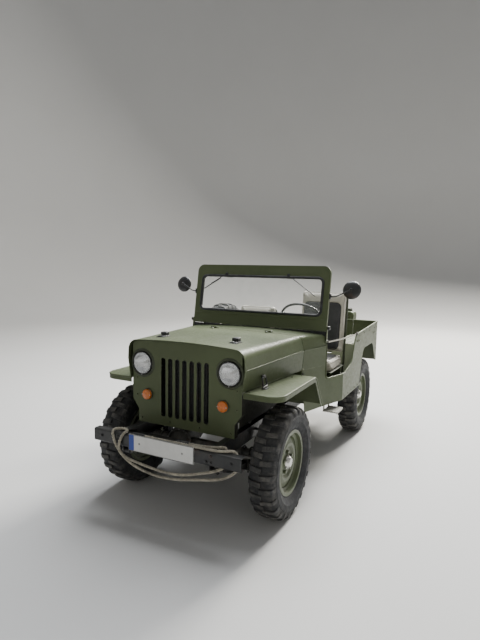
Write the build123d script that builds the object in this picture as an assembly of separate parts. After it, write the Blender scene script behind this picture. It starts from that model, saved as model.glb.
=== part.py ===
from build123d import *
import math
import os

# Open army 4x4 car with a high hood, folding windscreen and drop tailgate.
# Millimetres. X is the car's left, Y runs to the rear, Z is up from the ground.
# Fore-and-aft places are measured from the front axle, and every finished piece
# moves by ORIGIN_TO_AXLE, so that the origin lies under the middle of the car.

# Wheels and axles
WHEELBASE = 2032.0
HALF_TRACK = 613.0
ORIGIN_TO_AXLE = -1077.0
TYRE_RADIUS = 380.0
TYRE_HALF_WIDTH = 96.0
TREAD_HALF_WIDTH = 80.0
TYRE_WALL = 13.0
RIM_SEAT_RADIUS = 204.0
RIM_FLANGE_RADIUS = 222.0
RIM_HALF_WIDTH = 68.0
RIM_WELL_RADIUS = 182.0
RIM_SHEET = 4.5
RIM_TYRE_GAP = 0.4
DISC_FACE = 24.0
STUD_CIRCLE_RADIUS = 69.85
STUD_COUNT = 5
STUD_RADIUS = 7.0
CENTRE_HOLE_RADIUS = 54.0
DRUM_RADIUS = 125.0
DRUM_INNER = -33.0
SPINDLE_RADIUS = 22.0
SPINDLE_GAP = 0.5
HUB_CAP_REACH = 62.0
KINGPIN_X = 505.0
BALL_RADIUS = 60.0
KNUCKLE_WALL = 9.0
KNUCKLE_GAP = 0.6
STEERING_ARM_X = 500.0
STEERING_ARM_Y = -172.0
TIE_ROD_RADIUS = 13.0
ARM_EYE_RADIUS = 14.0
AXLE_TUBE_RADIUS = 36.0
DIFFERENTIAL_X = -190.0
DIFFERENTIAL_RADIUS = 122.0
PINION_LENGTH = 185.0

# Frame and springs
RAIL_HALF_SPAN = 371.0
RAIL_WIDTH = 50.0
RAIL_DEPTH = 97.0
RAIL_SHEET = 4.0
MEMBER_HEIGHT = 60.0
RAIL_FRONT_Z = 485.0
RAIL_REAR_Z = 558.0
RAIL_KICK_START = 1530.0
RAIL_KICK_END = 1760.0
FRAME_FRONT_Y = -490.7
FRAME_REAR_Y = 2500.0
SPRING_HALF_LENGTH = 455.0
SPRING_X = 346.0
SPRING_WIDTH = 44.0
SPRING_LEAF = 8.0
SPRING_EYE_Z = 425.0
SPRING_EYE_RADIUS = 17.0
CLAMP_HALF = 57.0
SPRING_PAD = 6.0
PERCH_HALF = 30.0

# Tub, cowl, hood and wings
SHEET = 3.0
SEAM = 0.3
GAP = 5.5
TUB_HALF_WIDTH = 724.0
TUB_WIDEST_Y = 1105.0
TUB_REAR_Y = 2510.0
TUB_TOP_Z = 1110.0
TUB_DOOR_TOP_Z = 1076.0
TOP_BEAD = 9.0
SIDE_BOTTOM_Z = 552.0
TUB_REAR_BOTTOM_Z = 680.0
FRONT_FLOOR_Z = 588.0
REAR_FLOOR_Z = 690.0
FLOOR_STEP_Y = 1520.0
DOOR_FRONT_Y = 858.0
DOOR_LOW_Z = 778.0
WHEELHOUSE_INNER_X = 457.0
WHEELHOUSE_TOP_Z = 960.0
WHEELHOUSE_FRONT_Y = 1570.0
WHEELHOUSE_REAR_Y = 2490.0
ARCH_TOP_Z = 902.0
TAILGATE_HALF_WIDTH = 450.0
TAILGATE_BOTTOM_Z = 708.0
TAILGATE_PIVOT_Y = 2519.0
TAILGATE_PIVOT_Z = 700.0
TAILGATE_HINGES = (-330.0, 0.0, 330.0)
GATE_PIN_RADIUS = 3.5
FENDER_Z = 895.0
FENDER_OUTER_X = 708.0
FENDER_INNER_X = 395.0
FENDER_FRONT_Y = -290.0
FENDER_REAR_Y = 400.0
FENDER_FOOT_Y = 572.0
FENDER_FOOT_Z = 650.0
FENDER_LIP = 34.0
FENDER_CORNER = 95.0
APRON_LOW_Z = 640.0
HOOD_FRONT_Y = -302.0
HOOD_REAR_Y = 535.0
HOOD_HINGE_X = 250.0
HOOD_PIVOT_Y = 538.0
HOOD_PIVOT_Z = 1187.0
GRILLE_Y = -285.0
GRILLE_BOTTOM_Z = 582.0
GRILLE_HALF_WIDTH = 438.0
GRILLE_FOOT_HALF_WIDTH = 388.0
GRILLE_CORNER_LOW_Z = 676.0
GRILLE_CORNER_HIGH_Z = 745.0
GRILLE_RETURN = 50.0
SLOT_COUNT = 7
SLOT_PITCH = 58.0
SLOT_WIDTH = 37.0
SLOT_TOP_Z = 1062.0
SLOT_BOTTOM_Z = 645.0
HEADLAMP_X = 350.0
HEADLAMP_Z = 1010.0
HEADLAMP_RADIUS = 84.0
INDICATOR_X = 305.0
INDICATOR_Z = 790.0
INDICATOR_RADIUS = 42.0
DASH_Y = 850.0
DASH_BOTTOM_Z = 960.0
FIREWALL_BOTTOM_Z = 770.0
TUNNEL_HALF_WIDTH = 150.0
TUNNEL_TOP_Z = 750.0
TUNNEL_REAR_Y = 1060.0

# Windscreen, drawn upright with its pivot at the origin and then leant back
SCREEN_PIVOT_Y = 850.0
SCREEN_PIVOT_Z = 1206.0
SCREEN_PIN_RADIUS = 8.0
SCREEN_LEAN = 9.5
SCREEN_HALF_WIDTH = 640.0
SCREEN_DEPTH = 26.0
SCREEN_BELOW_PIVOT = 28.0
SCREEN_HEIGHT = 512.0
SCREEN_CORNER = 62.0
GLASS_HALF_WIDTH = 582.0
GLASS_BOTTOM = 98.0
GLASS_TOP = 410.0
GLASS_CORNER = 42.0
GLASS_SHEET = 5.0
WIPER_RADIUS = 4.0
WIPER_LINES = (
    # pivot across and up from the screen's pivot, then the tip
    ((270.0, 428.0), (500.0, 270.0)),
    ((-330.0, 428.0), (-540.0, 300.0)),
)
MIRROR_RADIUS = 75.0
MIRROR_X = 812.0
MIRROR_HEIGHT = 325.0

# Bumper, plate and hitch
BUMPER_HALF_WIDTH = 569.0
BUMPER_FRONT_Y = -543.0
BUMPER_DEPTH = 52.0
BUMPER_SHEET = 5.0
BUMPER_LOW_Z = 488.0
BUMPER_HIGH_Z = 576.0
PLATE_WIDTH = 507.0
PLATE_HEIGHT = 114.0
PLATE_X = -8.0
PLATE_Z = 532.0
HITCH_PIN_RADIUS = 11.5
HITCH_Y = 2640.0

# Rope on the bumper
ROPE_RADIUS = 10.0
ROPE_ROUTE = (
    # first strand on the bumper's top, round its left end
    (-235, -530, 586.5),
    (-60, -532, 586.5),
    (130, -529, 586.5),
    (320, -531, 586.5),
    (436, -522, 588),
    (498, -472, 591),
    (511, -460, 522),
    (505, -462, 450),
    # outer bight under the bumper's front
    (425, -528, 410),
    (300, -557, 398),
    (150, -557, 362),
    (-10, -557, 346),
    (-170, -557, 366),
    (-290, -557, 412),
    (-370, -557, 492),
    # up over the bumper's edge, round and down again
    (-404, -555.5, 589),
    (-392, -503, 590),
    (-328, -492, 593.5),
    (-291, -522, 590),
    (-301, -556, 588),
    (-336, -557, 528),
    # inner bight
    (-346, -557, 470),
    (-296, -557, 425),
    (-150, -557, 402),
    (10, -557, 386),
    (165, -557, 394),
    (290, -551, 432),
    # behind the bumper and back over its top
    (378, -518, 450),
    (424, -466, 466),
    (431, -458, 534),
    (428, -461, 597),
    (378, -502, 595),
    (270, -508, 587),
    (90, -506, 586.5),
)
ARC_SHARE = 0.45

# Inside
WHEEL_RADIUS = 210.0
WHEEL_RIM_RADIUS = 11.0
COLUMN_X = 360.0
COLUMN_TOP_Y = 1060.0
COLUMN_TOP_Z = 1235.0
COLUMN_RAKE = 41.0
COLUMN_LENGTH = 968.0
COLUMN_RADIUS = 20.0
SEAT_BASE_Z = 785.0
SEAT_FRONT_Y = 1080.0
SEAT_REAR_Y = 1500.0
SEAT_TUBE = 11.0
SEAT_LEAN = 7.5
SEATS = (
    # middle across the car, half width, height of the back's top above the ground
    (400.0, 226.0, 1480.0),
    (-290.0, 200.0, 1308.0),
)
CAN_X = 276.0
CAN_WIDTH = 345.0
CAN_DEPTH = 165.0
CAN_HEIGHT = 455.0
CAN_LOW_Z = 795.0
CAN_OFF_GATE = 8.0
SPARE_X = 828.0
SPARE_Y = 1760.0
SPARE_Z = 905.0


def face_of(points, radius=0.0):
    """A flat face inside a closed run of points, with its corners rounded if asked."""
    if radius:
        return make_face(FilletPolyline(*points, radius=radius, close=True))
    return make_face(Polyline(*points, close=True))


def across(face, x_from, x_to):
    """A face drawn in (y, z), made solid between two places across the car."""
    return extrude(Plane.YZ.offset(x_from) * face, x_to - x_from)


def along(face, y_from, y_to):
    """A face drawn in (x, z), made solid between two places along the car."""
    return extrude(Pos(0, y_from, 0) * (Plane.XZ * face), y_to - y_from, dir=(0, 1, 0))


def upright(face, z_from, z_to):
    """A face drawn in (x, y), made solid between two heights."""
    return extrude(Pos(0, 0, z_from) * face, z_to - z_from)


def strip(points, thickness):
    """The face of a bent sheet: a run of points, and the same run set off to its left."""
    ahead = []
    for start, end in zip(points, points[1:]):
        run = math.hypot(end[0] - start[0], end[1] - start[1])
        ahead.append(((end[0] - start[0]) / run, (end[1] - start[1]) / run))
    far = []
    for index, (px, py) in enumerate(points):
        before = ahead[max(index - 1, 0)]
        after = ahead[min(index, len(ahead) - 1)]
        nx, ny = -(before[1] + after[1]), before[0] + after[0]
        reach = thickness * 2 / (nx * nx + ny * ny)
        far.append((px + nx * reach, py + ny * reach))
    return face_of(list(points) + far[::-1])


def block(x_span, y_span, z_span):
    """A box between two corners."""
    spans = (x_span, y_span, z_span)
    middle = [(low + high) / 2 for low, high in spans]
    return Pos(*middle) * Box(*[high - low for low, high in spans])


def rod(radius, start, end):
    """A round bar from one point to another."""
    line = Line(start, end)
    return extrude(Plane(start, z_dir=line % 0) * Circle(radius), line.length)


def tube_along(points, bend, radius):
    """A round bar bent along a route, with the same bend at every corner."""
    path = FilletPolyline(*points, radius=bend)
    return sweep(Plane(path @ 0, z_dir=path % 0) * Circle(radius), path=path)


def laid_route(points):
    """A smooth route for a soft cord: straight runs with the largest arcs that they allow."""
    ahead = [Vector(end) - Vector(start) for start, end in zip(points, points[1:])]
    radii = []
    for before, after in zip(ahead, ahead[1:]):
        half_turn = math.radians(before.get_angle(after)) / 2
        radii.append(ARC_SHARE * min(before.length, after.length) / math.tan(half_turn))
    print("rope radii", [round(radius) for radius in radii])
    return FilletPolyline(*points, radius=[min(radius, 2000.0) for radius in radii])


def joined(pieces):
    """Pieces fused to one."""
    whole = pieces[0]
    for piece in pieces[1:]:
        whole = whole + piece
    return whole


def side_by_side(*pieces):
    """Separate solids kept in one node."""
    return Compound(children=[solid for piece in pieces for solid in piece.solids()])


def mirrored(piece):
    """The same piece on the other side of the car."""
    return piece.mirror(Plane.YZ)


def turned(profile):
    """A profile drawn in (x, radius) turned about the wheel's axis."""
    return revolve(profile, Axis.X)


def tyre():
    """A hollow tyre about the X axis, open between its beads."""
    bead_x = RIM_HALF_WIDTH - RIM_SHEET - RIM_TYRE_GAP
    heel = RIM_FLANGE_RADIUS + 2
    seat = RIM_SEAT_RADIUS + RIM_TYRE_GAP
    bulge = (RIM_SEAT_RADIUS + TYRE_RADIUS) / 2
    shoulder = (TREAD_HALF_WIDTH, TYRE_RADIUS - TYRE_WALL)
    crown_end = (TREAD_HALF_WIDTH / 2, TYRE_RADIUS)
    crown_bend = (TREAD_HALF_WIDTH * 0.7625, TYRE_RADIUS - 3.3)
    toe_x = bead_x - TYRE_WALL
    wide = TYRE_HALF_WIDTH - TYRE_WALL
    inner = (TREAD_HALF_WIDTH - TYRE_WALL, TYRE_RADIUS - TYRE_WALL - 10)

    def flip(point):
        return (-point[0], point[1])

    edges = [
        Line((bead_x, seat), (bead_x, heel)),
        ThreePointArc((bead_x, heel), (TYRE_HALF_WIDTH, bulge), shoulder),
        ThreePointArc(shoulder, crown_bend, crown_end),
        Line(crown_end, flip(crown_end)),
        ThreePointArc(flip(crown_end), flip(crown_bend), flip(shoulder)),
        ThreePointArc(flip(shoulder), (-TYRE_HALF_WIDTH, bulge), (-bead_x, heel)),
        Line((-bead_x, heel), (-bead_x, seat)),
        Line((-bead_x, seat), (-toe_x, seat)),
        ThreePointArc((-toe_x, seat), (-wide, bulge), flip(inner)),
        Line(flip(inner), inner),
        ThreePointArc(inner, (wide, bulge), (toe_x, seat)),
        Line((toe_x, seat), (bead_x, seat)),
    ]
    return turned(make_face(edges))


def rim():
    """A drop-centre rim and its pressed disc about the X axis, outer side towards +X."""
    seat_x = RIM_HALF_WIDTH - RIM_SHEET
    under = RIM_SEAT_RADIUS - RIM_SHEET
    outer = [
        (RIM_HALF_WIDTH, RIM_FLANGE_RADIUS),
        (seat_x, RIM_FLANGE_RADIUS),
        (seat_x, RIM_SEAT_RADIUS),
        (38, RIM_SEAT_RADIUS),
        (30, RIM_WELL_RADIUS),
    ]
    inner = [(33, RIM_WELL_RADIUS - RIM_SHEET), (41, under), (RIM_HALF_WIDTH, under)]
    left_outer = [(-x, r) for x, r in outer[::-1]]
    left_inner = [(-x, r) for x, r in inner[::-1]]
    barrel = turned(face_of(outer + left_outer + left_inner + inner))
    disc_points = [
        (4, RIM_WELL_RADIUS - RIM_SHEET),
        (DISC_FACE + 2, RIM_WELL_RADIUS - RIM_SHEET),
        (DISC_FACE + 22, 128),
        (DISC_FACE + 19, 108),
        (DISC_FACE + RIM_SHEET, 92),
        (DISC_FACE + RIM_SHEET, CENTRE_HOLE_RADIUS),
        (DISC_FACE, CENTRE_HOLE_RADIUS),
        (DISC_FACE, 94),
        (DISC_FACE + 14, 110),
        (DISC_FACE + 17, 127),
        (DISC_FACE - 2, RIM_WELL_RADIUS - RIM_SHEET - 5),
        (4, RIM_WELL_RADIUS - RIM_SHEET - 5),
    ]
    return barrel + turned(face_of(disc_points))


def stud_ring(radius, x_from, x_to):
    """Bars on the stud circle, about the X axis."""
    bars = []
    for index in range(STUD_COUNT):
        angle = math.radians(90 + 360 * index / STUD_COUNT)
        y = STUD_CIRCLE_RADIUS * math.cos(angle)
        z = STUD_CIRCLE_RADIUS * math.sin(angle)
        bars.append(rod(radius, (x_from, y, z), (x_to, y, z)))
    return bars


def wheel_centre():
    """Rim, drum and hub of a wheel that is on the car, bored for its spindle."""
    drum_points = [
        (DRUM_INNER, DRUM_RADIUS),
        (DISC_FACE - 4, DRUM_RADIUS - 6),
        (DISC_FACE, DRUM_RADIUS - 14),
        (DISC_FACE, SPINDLE_RADIUS + SPINDLE_GAP),
        (-24, SPINDLE_RADIUS + SPINDLE_GAP),
        (-24, 44),
        (DISC_FACE - 10, 50),
        (DISC_FACE - 10, DRUM_RADIUS - 14),
        (DRUM_INNER, DRUM_RADIUS - 9),
    ]
    hub_points = [
        (DISC_FACE, SPINDLE_RADIUS + SPINDLE_GAP),
        (DISC_FACE + 22, SPINDLE_RADIUS + SPINDLE_GAP),
        (DISC_FACE + 22, 0),
        (HUB_CAP_REACH, 0),
        (HUB_CAP_REACH, 24),
        (HUB_CAP_REACH - 12, 38),
        (DISC_FACE + 14, 46),
        (DISC_FACE + 6, CENTRE_HOLE_RADIUS),
        (DISC_FACE, CENTRE_HOLE_RADIUS),
    ]
    nuts = stud_ring(11, DISC_FACE + RIM_SHEET - 1, DISC_FACE + 20)
    return joined([rim(), turned(face_of(drum_points)), turned(face_of(hub_points)), *nuts])


def spare_rim():
    """A bare rim with its stud holes."""
    piece = rim()
    for hole in stud_ring(STUD_RADIUS + 1, DISC_FACE - 5, DISC_FACE + 10):
        piece = piece - hole
    return piece


def knuckle():
    """The left steering knuckle: a cup over the axle's ball, its arm, spindle and brake plate."""
    inner = BALL_RADIUS + KNUCKLE_GAP
    outer = inner + KNUCKLE_WALL
    lip_x = -8.0
    neck = 30.0
    plate_x = HALF_TRACK + DRUM_INNER - 9 - KINGPIN_X
    end_x = HALF_TRACK + DISC_FACE + 20 - KINGPIN_X
    slope = math.sqrt(0.5)

    def on_sphere(radius, x):
        return (x, math.sqrt(radius * radius - x * x))

    neck_start = (math.sqrt(outer * outer - neck * neck), neck)
    edges = [
        ThreePointArc((inner, 0), (inner * slope, inner * slope), on_sphere(inner, lip_x)),
        Line(on_sphere(inner, lip_x), on_sphere(outer, lip_x)),
        ThreePointArc(on_sphere(outer, lip_x), (outer * slope, outer * slope), neck_start),
        Polyline(
            neck_start,
            (plate_x, neck),
            (plate_x, DRUM_RADIUS),
            (plate_x + 3, DRUM_RADIUS),
            (plate_x + 3, SPINDLE_RADIUS),
            (end_x, SPINDLE_RADIUS),
            (end_x, 0),
            (inner, 0),
        ),
    ]
    body = Pos(KINGPIN_X, 0, TYRE_RADIUS) * turned(make_face(edges))
    top = TYRE_RADIUS + outer
    cap = rod(27, (KINGPIN_X, 0, top - 8), (KINGPIN_X, 0, top + 10))
    foot = rod(27, (KINGPIN_X, 0, TYRE_RADIUS - outer - 8), (KINGPIN_X, 0, TYRE_RADIUS - outer + 8))
    arm_outline = [
        (KINGPIN_X - 24, 0),
        (KINGPIN_X + 24, 0),
        (STEERING_ARM_X + ARM_EYE_RADIUS - 1, STEERING_ARM_Y),
        (STEERING_ARM_X - ARM_EYE_RADIUS + 1, STEERING_ARM_Y),
    ]
    arm = upright(face_of(arm_outline), top + 2, top + 14)
    eye_foot = (STEERING_ARM_X, STEERING_ARM_Y, top + 2)
    eye = rod(ARM_EYE_RADIUS, eye_foot, (STEERING_ARM_X, STEERING_ARM_Y, top + 14))
    ball = Pos(KINGPIN_X, 0, TYRE_RADIUS) * Sphere(inner)
    return joined([body, cap, foot, arm, eye]) - ball


def tie_rod():
    """The bar between the two steering arms, with an eye under each arm."""
    arm_z = TYRE_RADIUS + BALL_RADIUS + KNUCKLE_GAP + KNUCKLE_WALL
    bar_z = arm_z - TIE_ROD_RADIUS - 6
    left_end = (STEERING_ARM_X, STEERING_ARM_Y, bar_z)
    bar = rod(TIE_ROD_RADIUS, (-STEERING_ARM_X, STEERING_ARM_Y, bar_z), left_end)
    pieces = [bar]
    for x in (-STEERING_ARM_X, STEERING_ARM_X):
        pieces.append(rod(ARM_EYE_RADIUS, (x, STEERING_ARM_Y, bar_z - 15), (x, STEERING_ARM_Y, arm_z + 1.5)))
    return joined(pieces)


def axle_housing(y, pinion_way):
    """Tubes and an offset differential; the pinion nose points along pinion_way."""
    centre = (DIFFERENTIAL_X, y, TYRE_RADIUS)
    housing = Pos(*centre) * Sphere(DIFFERENTIAL_RADIUS)
    flat = 74
    trim = block(
        (DIFFERENTIAL_X - flat, DIFFERENTIAL_X + flat),
        (y - DIFFERENTIAL_RADIUS, y + DIFFERENTIAL_RADIUS),
        (TYRE_RADIUS - DIFFERENTIAL_RADIUS, TYRE_RADIUS + DIFFERENTIAL_RADIUS),
    )
    housing = housing & trim
    nose_end = (DIFFERENTIAL_X, y + pinion_way * PINION_LENGTH, TYRE_RADIUS)
    nose = rod(46, centre, nose_end)
    return [housing, nose]


def spring_perches(y):
    """The two pads under an axle's tubes that sit on the springs."""
    top_leaf = TYRE_RADIUS - AXLE_TUBE_RADIUS - SPRING_PAD
    bow = (SPRING_EYE_Z - top_leaf + SPRING_LEAF) * (PERCH_HALF / SPRING_HALF_LENGTH) ** 2
    half = SPRING_WIDTH / 2 + 4
    z_span = (top_leaf + bow + SEAM, TYRE_RADIUS)
    pad = block((SPRING_X - half, SPRING_X + half), (y - PERCH_HALF, y + PERCH_HALF), z_span)
    return [pad, mirrored(pad)]


def front_axle():
    """Front axle housing with a ball at each end."""
    tube = rod(AXLE_TUBE_RADIUS, (-KINGPIN_X, 0, TYRE_RADIUS), (KINGPIN_X, 0, TYRE_RADIUS))
    balls = [Pos(side * KINGPIN_X, 0, TYRE_RADIUS) * Sphere(BALL_RADIUS) for side in (-1, 1)]
    return joined([tube, *balls, *axle_housing(0, 1), *spring_perches(0)])


def rear_axle():
    """Rear axle housing with its brake plates and spindles."""
    plate_x = HALF_TRACK + DRUM_INNER - 9
    end = HALF_TRACK + DISC_FACE + 20
    tube = rod(AXLE_TUBE_RADIUS, (-plate_x, WHEELBASE, TYRE_RADIUS), (plate_x, WHEELBASE, TYRE_RADIUS))
    shaft = rod(SPINDLE_RADIUS, (-end, WHEELBASE, TYRE_RADIUS), (end, WHEELBASE, TYRE_RADIUS))
    pieces = [tube, shaft, *axle_housing(WHEELBASE, -1), *spring_perches(WHEELBASE)]
    for side in (-1, 1):
        start = (side * plate_x, WHEELBASE, TYRE_RADIUS)
        pieces.append(rod(DRUM_RADIUS, start, (side * (plate_x + 3), WHEELBASE, TYRE_RADIUS)))
    return joined(pieces)


def leaf_spring(y, tube_low):
    """One pack of leaves under an axle tube: each leaf shorter than the one above."""
    pack = []
    low = tube_low - SPRING_LEAF
    for level, share in enumerate((1.0, 0.86, 0.7, 0.54, 0.38, 0.22)):
        reach = SPRING_HALF_LENGTH * share
        rise = (SPRING_EYE_Z - low) * share * share
        top = low - level * SPRING_LEAF + SPRING_LEAF
        upper = ThreePointArc((y - reach, top + rise), (y, top), (y + reach, top + rise))
        end_z = top + rise - SPRING_LEAF
        lower = ThreePointArc((y + reach, end_z), (y, top - SPRING_LEAF), (y - reach, end_z))
        ends = [Line(upper @ 1, lower @ 0), Line(lower @ 1, upper @ 0)]
        leaf = make_face([upper, ends[0], lower, ends[1]])
        pack.append(across(leaf, SPRING_X - SPRING_WIDTH / 2, SPRING_X + SPRING_WIDTH / 2))
    return pack


def springs():
    """Four leaf packs with their eyes, saddles and clamp plates."""
    tube_low = TYRE_RADIUS - AXLE_TUBE_RADIUS - SPRING_PAD
    low = tube_low - 6 * SPRING_LEAF
    packs = []
    for y in (0, WHEELBASE):
        pieces = leaf_spring(y, tube_low)
        for end in (-1, 1):
            eye_y = y + end * SPRING_HALF_LENGTH
            span = (SPRING_X - SPRING_WIDTH / 2, SPRING_X + SPRING_WIDTH / 2)
            eye_start = (span[0], eye_y, SPRING_EYE_Z)
            pieces.append(rod(SPRING_EYE_RADIUS, eye_start, (span[1], eye_y, SPRING_EYE_Z)))
        half = SPRING_WIDTH / 2 + 14
        clamp_y = (y - CLAMP_HALF, y + CLAMP_HALF)
        pieces.append(block((SPRING_X - half, SPRING_X + half), clamp_y, (low - 8, low)))
        pack = joined(pieces)
        packs += [pack, mirrored(pack)]
    return side_by_side(*packs)


def rail_line(depth):
    """The side view of a frame rail at a depth below its top edge."""
    return [
        (FRAME_FRONT_Y, RAIL_FRONT_Z + RAIL_DEPTH - depth),
        (RAIL_KICK_START, RAIL_FRONT_Z + RAIL_DEPTH - depth),
        (RAIL_KICK_END, RAIL_REAR_Z + RAIL_DEPTH - depth),
        (FRAME_REAR_Y, RAIL_REAR_Z + RAIL_DEPTH - depth),
    ]


def frame():
    """Two channel rails open to the inside, cross members and spring hangers."""
    outline = face_of(rail_line(0) + rail_line(RAIL_DEPTH)[::-1])
    core = face_of(rail_line(RAIL_SHEET) + rail_line(RAIL_DEPTH - RAIL_SHEET)[::-1])
    inner_x = RAIL_HALF_SPAN - RAIL_WIDTH
    rail = across(outline, inner_x, RAIL_HALF_SPAN)
    rail = rail - across(core, inner_x, RAIL_HALF_SPAN - RAIL_SHEET)
    pieces = [rail, mirrored(rail)]
    high = RAIL_FRONT_Z + RAIL_DEPTH
    members = (
        (-455, -375, RAIL_FRONT_Z, MEMBER_HEIGHT),
        (680, 775, RAIL_FRONT_Z, MEMBER_HEIGHT),
        (1350, 1400, RAIL_FRONT_Z, MEMBER_HEIGHT),
        (2440, 2500, RAIL_REAR_Z, RAIL_DEPTH),
    )
    for y_from, y_to, z_low, tall in members:
        shell = block((-RAIL_HALF_SPAN + 2, RAIL_HALF_SPAN - 2), (y_from, y_to), (z_low, z_low + tall))
        hollow = block(
            (-RAIL_HALF_SPAN - 2, RAIL_HALF_SPAN + 2),
            (y_from + RAIL_SHEET, y_to - RAIL_SHEET),
            (z_low - 1, z_low + tall - RAIL_SHEET),
        )
        pieces.append(shell - hollow)
    for y in (0, WHEELBASE):
        for end in (-1, 1):
            eye_y = y + end * SPRING_HALF_LENGTH
            rail_low = RAIL_REAR_Z if eye_y > RAIL_KICK_END else RAIL_FRONT_Z
            if RAIL_KICK_START < eye_y < RAIL_KICK_END:
                share = (eye_y - RAIL_KICK_START) / (RAIL_KICK_END - RAIL_KICK_START)
                rail_low = RAIL_FRONT_Z + (RAIL_REAR_Z - RAIL_FRONT_Z) * share
            for side in (-1, 1):
                for x in (SPRING_X - SPRING_WIDTH / 2 - 6.5, SPRING_X + SPRING_WIDTH / 2 + 0.5):
                    ends = sorted((side * x, side * (x + 6)))
                    cheek = [
                        (eye_y - 34, rail_low + 8),
                        (eye_y + 34, rail_low + 8),
                        (eye_y + 20, SPRING_EYE_Z - 14),
                        (eye_y - 20, SPRING_EYE_Z - 14),
                    ]
                    pieces.append(across(face_of(cheek), *ends))
    whole = joined(pieces)
    return whole


def front_bumper():
    """A pressed channel, open to the rear, with its brackets to the frame."""
    width = (-BUMPER_HALF_WIDTH, BUMPER_HALF_WIDTH)
    body = block(width, (BUMPER_FRONT_Y, BUMPER_FRONT_Y + BUMPER_DEPTH), (BUMPER_LOW_Z, BUMPER_HIGH_Z))
    body = fillet(body.edges().filter_by(Axis.X).group_by(Axis.Y)[0], 12)
    hollow = block(
        (-BUMPER_HALF_WIDTH - 1, BUMPER_HALF_WIDTH + 1),
        (BUMPER_FRONT_Y + BUMPER_SHEET, BUMPER_FRONT_Y + BUMPER_DEPTH + 1),
        (BUMPER_LOW_Z + BUMPER_SHEET, BUMPER_HIGH_Z - BUMPER_SHEET),
    )
    return body - hollow


def number_plate():
    """A blank plate on two packing strips, ahead of the bumper."""
    y = BUMPER_FRONT_Y
    span = (PLATE_X - PLATE_WIDTH / 2, PLATE_X + PLATE_WIDTH / 2)
    plate = block(span, (y - 7, y - 4), (PLATE_Z - PLATE_HEIGHT / 2, PLATE_Z + PLATE_HEIGHT / 2))
    plate = fillet(plate.edges().filter_by(Axis.Y), 8)
    packing = block((span[0] + 60, span[1] - 60), (y - 4, y), (PLATE_Z - 30, PLATE_Z + 30))
    return plate + packing


def tow_rope():
    """A rope wound once round the bumper, with two bights that hang ahead of it."""
    path = laid_route(ROPE_ROUTE)
    return sweep(Plane(path @ 0, z_dir=path % 0) * Circle(ROPE_RADIUS), path=path)


def engine_block():
    """The engine as one plain block at its real size and place, on a bearer across the rails."""
    rail_top = RAIL_FRONT_Z + RAIL_DEPTH
    reach = RAIL_HALF_SPAN - 25
    bearer = block((-reach, reach), (20, 60), (rail_top + SEAM, rail_top + 24))
    return block((-100, 170), (-60, 440), (525, 1040)) + bearer


def gearbox():
    """Bell housing, gearbox and transfer case."""
    bell = rod(145, (20, 440, 665), (20, 536, 665))
    box = block((-60, 100), (530, 835), (600, 735))
    tail = block((-90, 95), (830, 980), (500, 640))
    transfer = block((-245, 70), (880, 1050), (425, 580))
    flanges = [
        rod(40, (DIFFERENTIAL_X, 850, 465), (DIFFERENTIAL_X, 885, 465)),
        rod(40, (DIFFERENTIAL_X, 1045, 465), (DIFFERENTIAL_X, 1080, 465)),
    ]
    box = fillet(box.edges().filter_by(Axis.Y), 25)
    transfer = fillet(transfer.edges().filter_by(Axis.Y), 35)
    member_top = RAIL_FRONT_Z + MEMBER_HEIGHT
    mount = block((-25, 65), (705, 750), (member_top + SEAM, 610))
    return joined([bell, box, tail, transfer, mount, *flanges])


def propeller_shafts():
    """The two open shafts with their joints."""
    runs = (
        ((DIFFERENTIAL_X, PINION_LENGTH, TYRE_RADIUS), (DIFFERENTIAL_X, 850, 465)),
        ((DIFFERENTIAL_X, 1080, 465), (DIFFERENTIAL_X, WHEELBASE - PINION_LENGTH, TYRE_RADIUS)),
    )
    shafts = []
    for start, end in runs:
        line = Line(start, end)
        shaft = rod(22, start, end)
        joint_a = rod(36, start, line @ (60 / line.length))
        joint_b = rod(36, line @ (1 - 60 / line.length), end)
        whole = joined([shaft, joint_a, joint_b])
        square = block((-400, 0), (start[1] + 0.3, end[1] - 0.3), (300, 600))
        shafts.append(whole & square)
    return side_by_side(*shafts)


def exhaust():
    """Down pipe under the right rail, silencer outside it, tail pipe to the rear."""
    route = [
        (-109.1, 380, 700),
        (-200, 380, 660),
        (-215, 600, 520),
        (-300, 650, 448),
        (-420, 690, 448),
        (-470, 800, 490),
        (-470, 960, 492),
    ]
    pipe = tube_along(route, 45, 21)
    silencer = rod(58, (-470, 940, 492), (-470, 1400, 492))
    tail_route = [
        (-470, 1390, 492),
        (-470, 1480, 492),
        (-450, 1640, 505),
        (-450, 2200, 505),
        (-450, 2540, 480),
    ]
    tail = tube_along(tail_route, 60, 18)
    return joined([pipe, silencer, tail])


def fuel_tank():
    """The tank on the floor below the driver's seat."""
    x, half, _ = SEATS[0]
    floor = FRONT_FLOOR_Z + SHEET
    tank_y = (SEAT_FRONT_Y + 10, SEAT_REAR_Y - 10)
    tank = block((x - half + 31, x + half - 31), tank_y, (floor, SEAT_BASE_Z - 25))
    return fillet(tank.edges().filter_by(Axis.X), 30)


def radiator():
    """Core, top tank and bottom tank behind the grille."""
    core = block((-225, 225), (-225, -165), (640, 1040))
    top = block((-225, 225), (-235, -150), (1040, 1105))
    bottom = block((-225, 225), (-230, -160), (590, 640))
    top = fillet(top.edges().filter_by(Axis.X), 18)
    cap = rod(24, (0, -192, 1100), (0, -192, 1120))
    rail_top = RAIL_FRONT_Z + RAIL_DEPTH
    bearer = block((-340, 340), (-215, -175), (rail_top, 592))
    return joined([core, top, bottom, cap, bearer])


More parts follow.
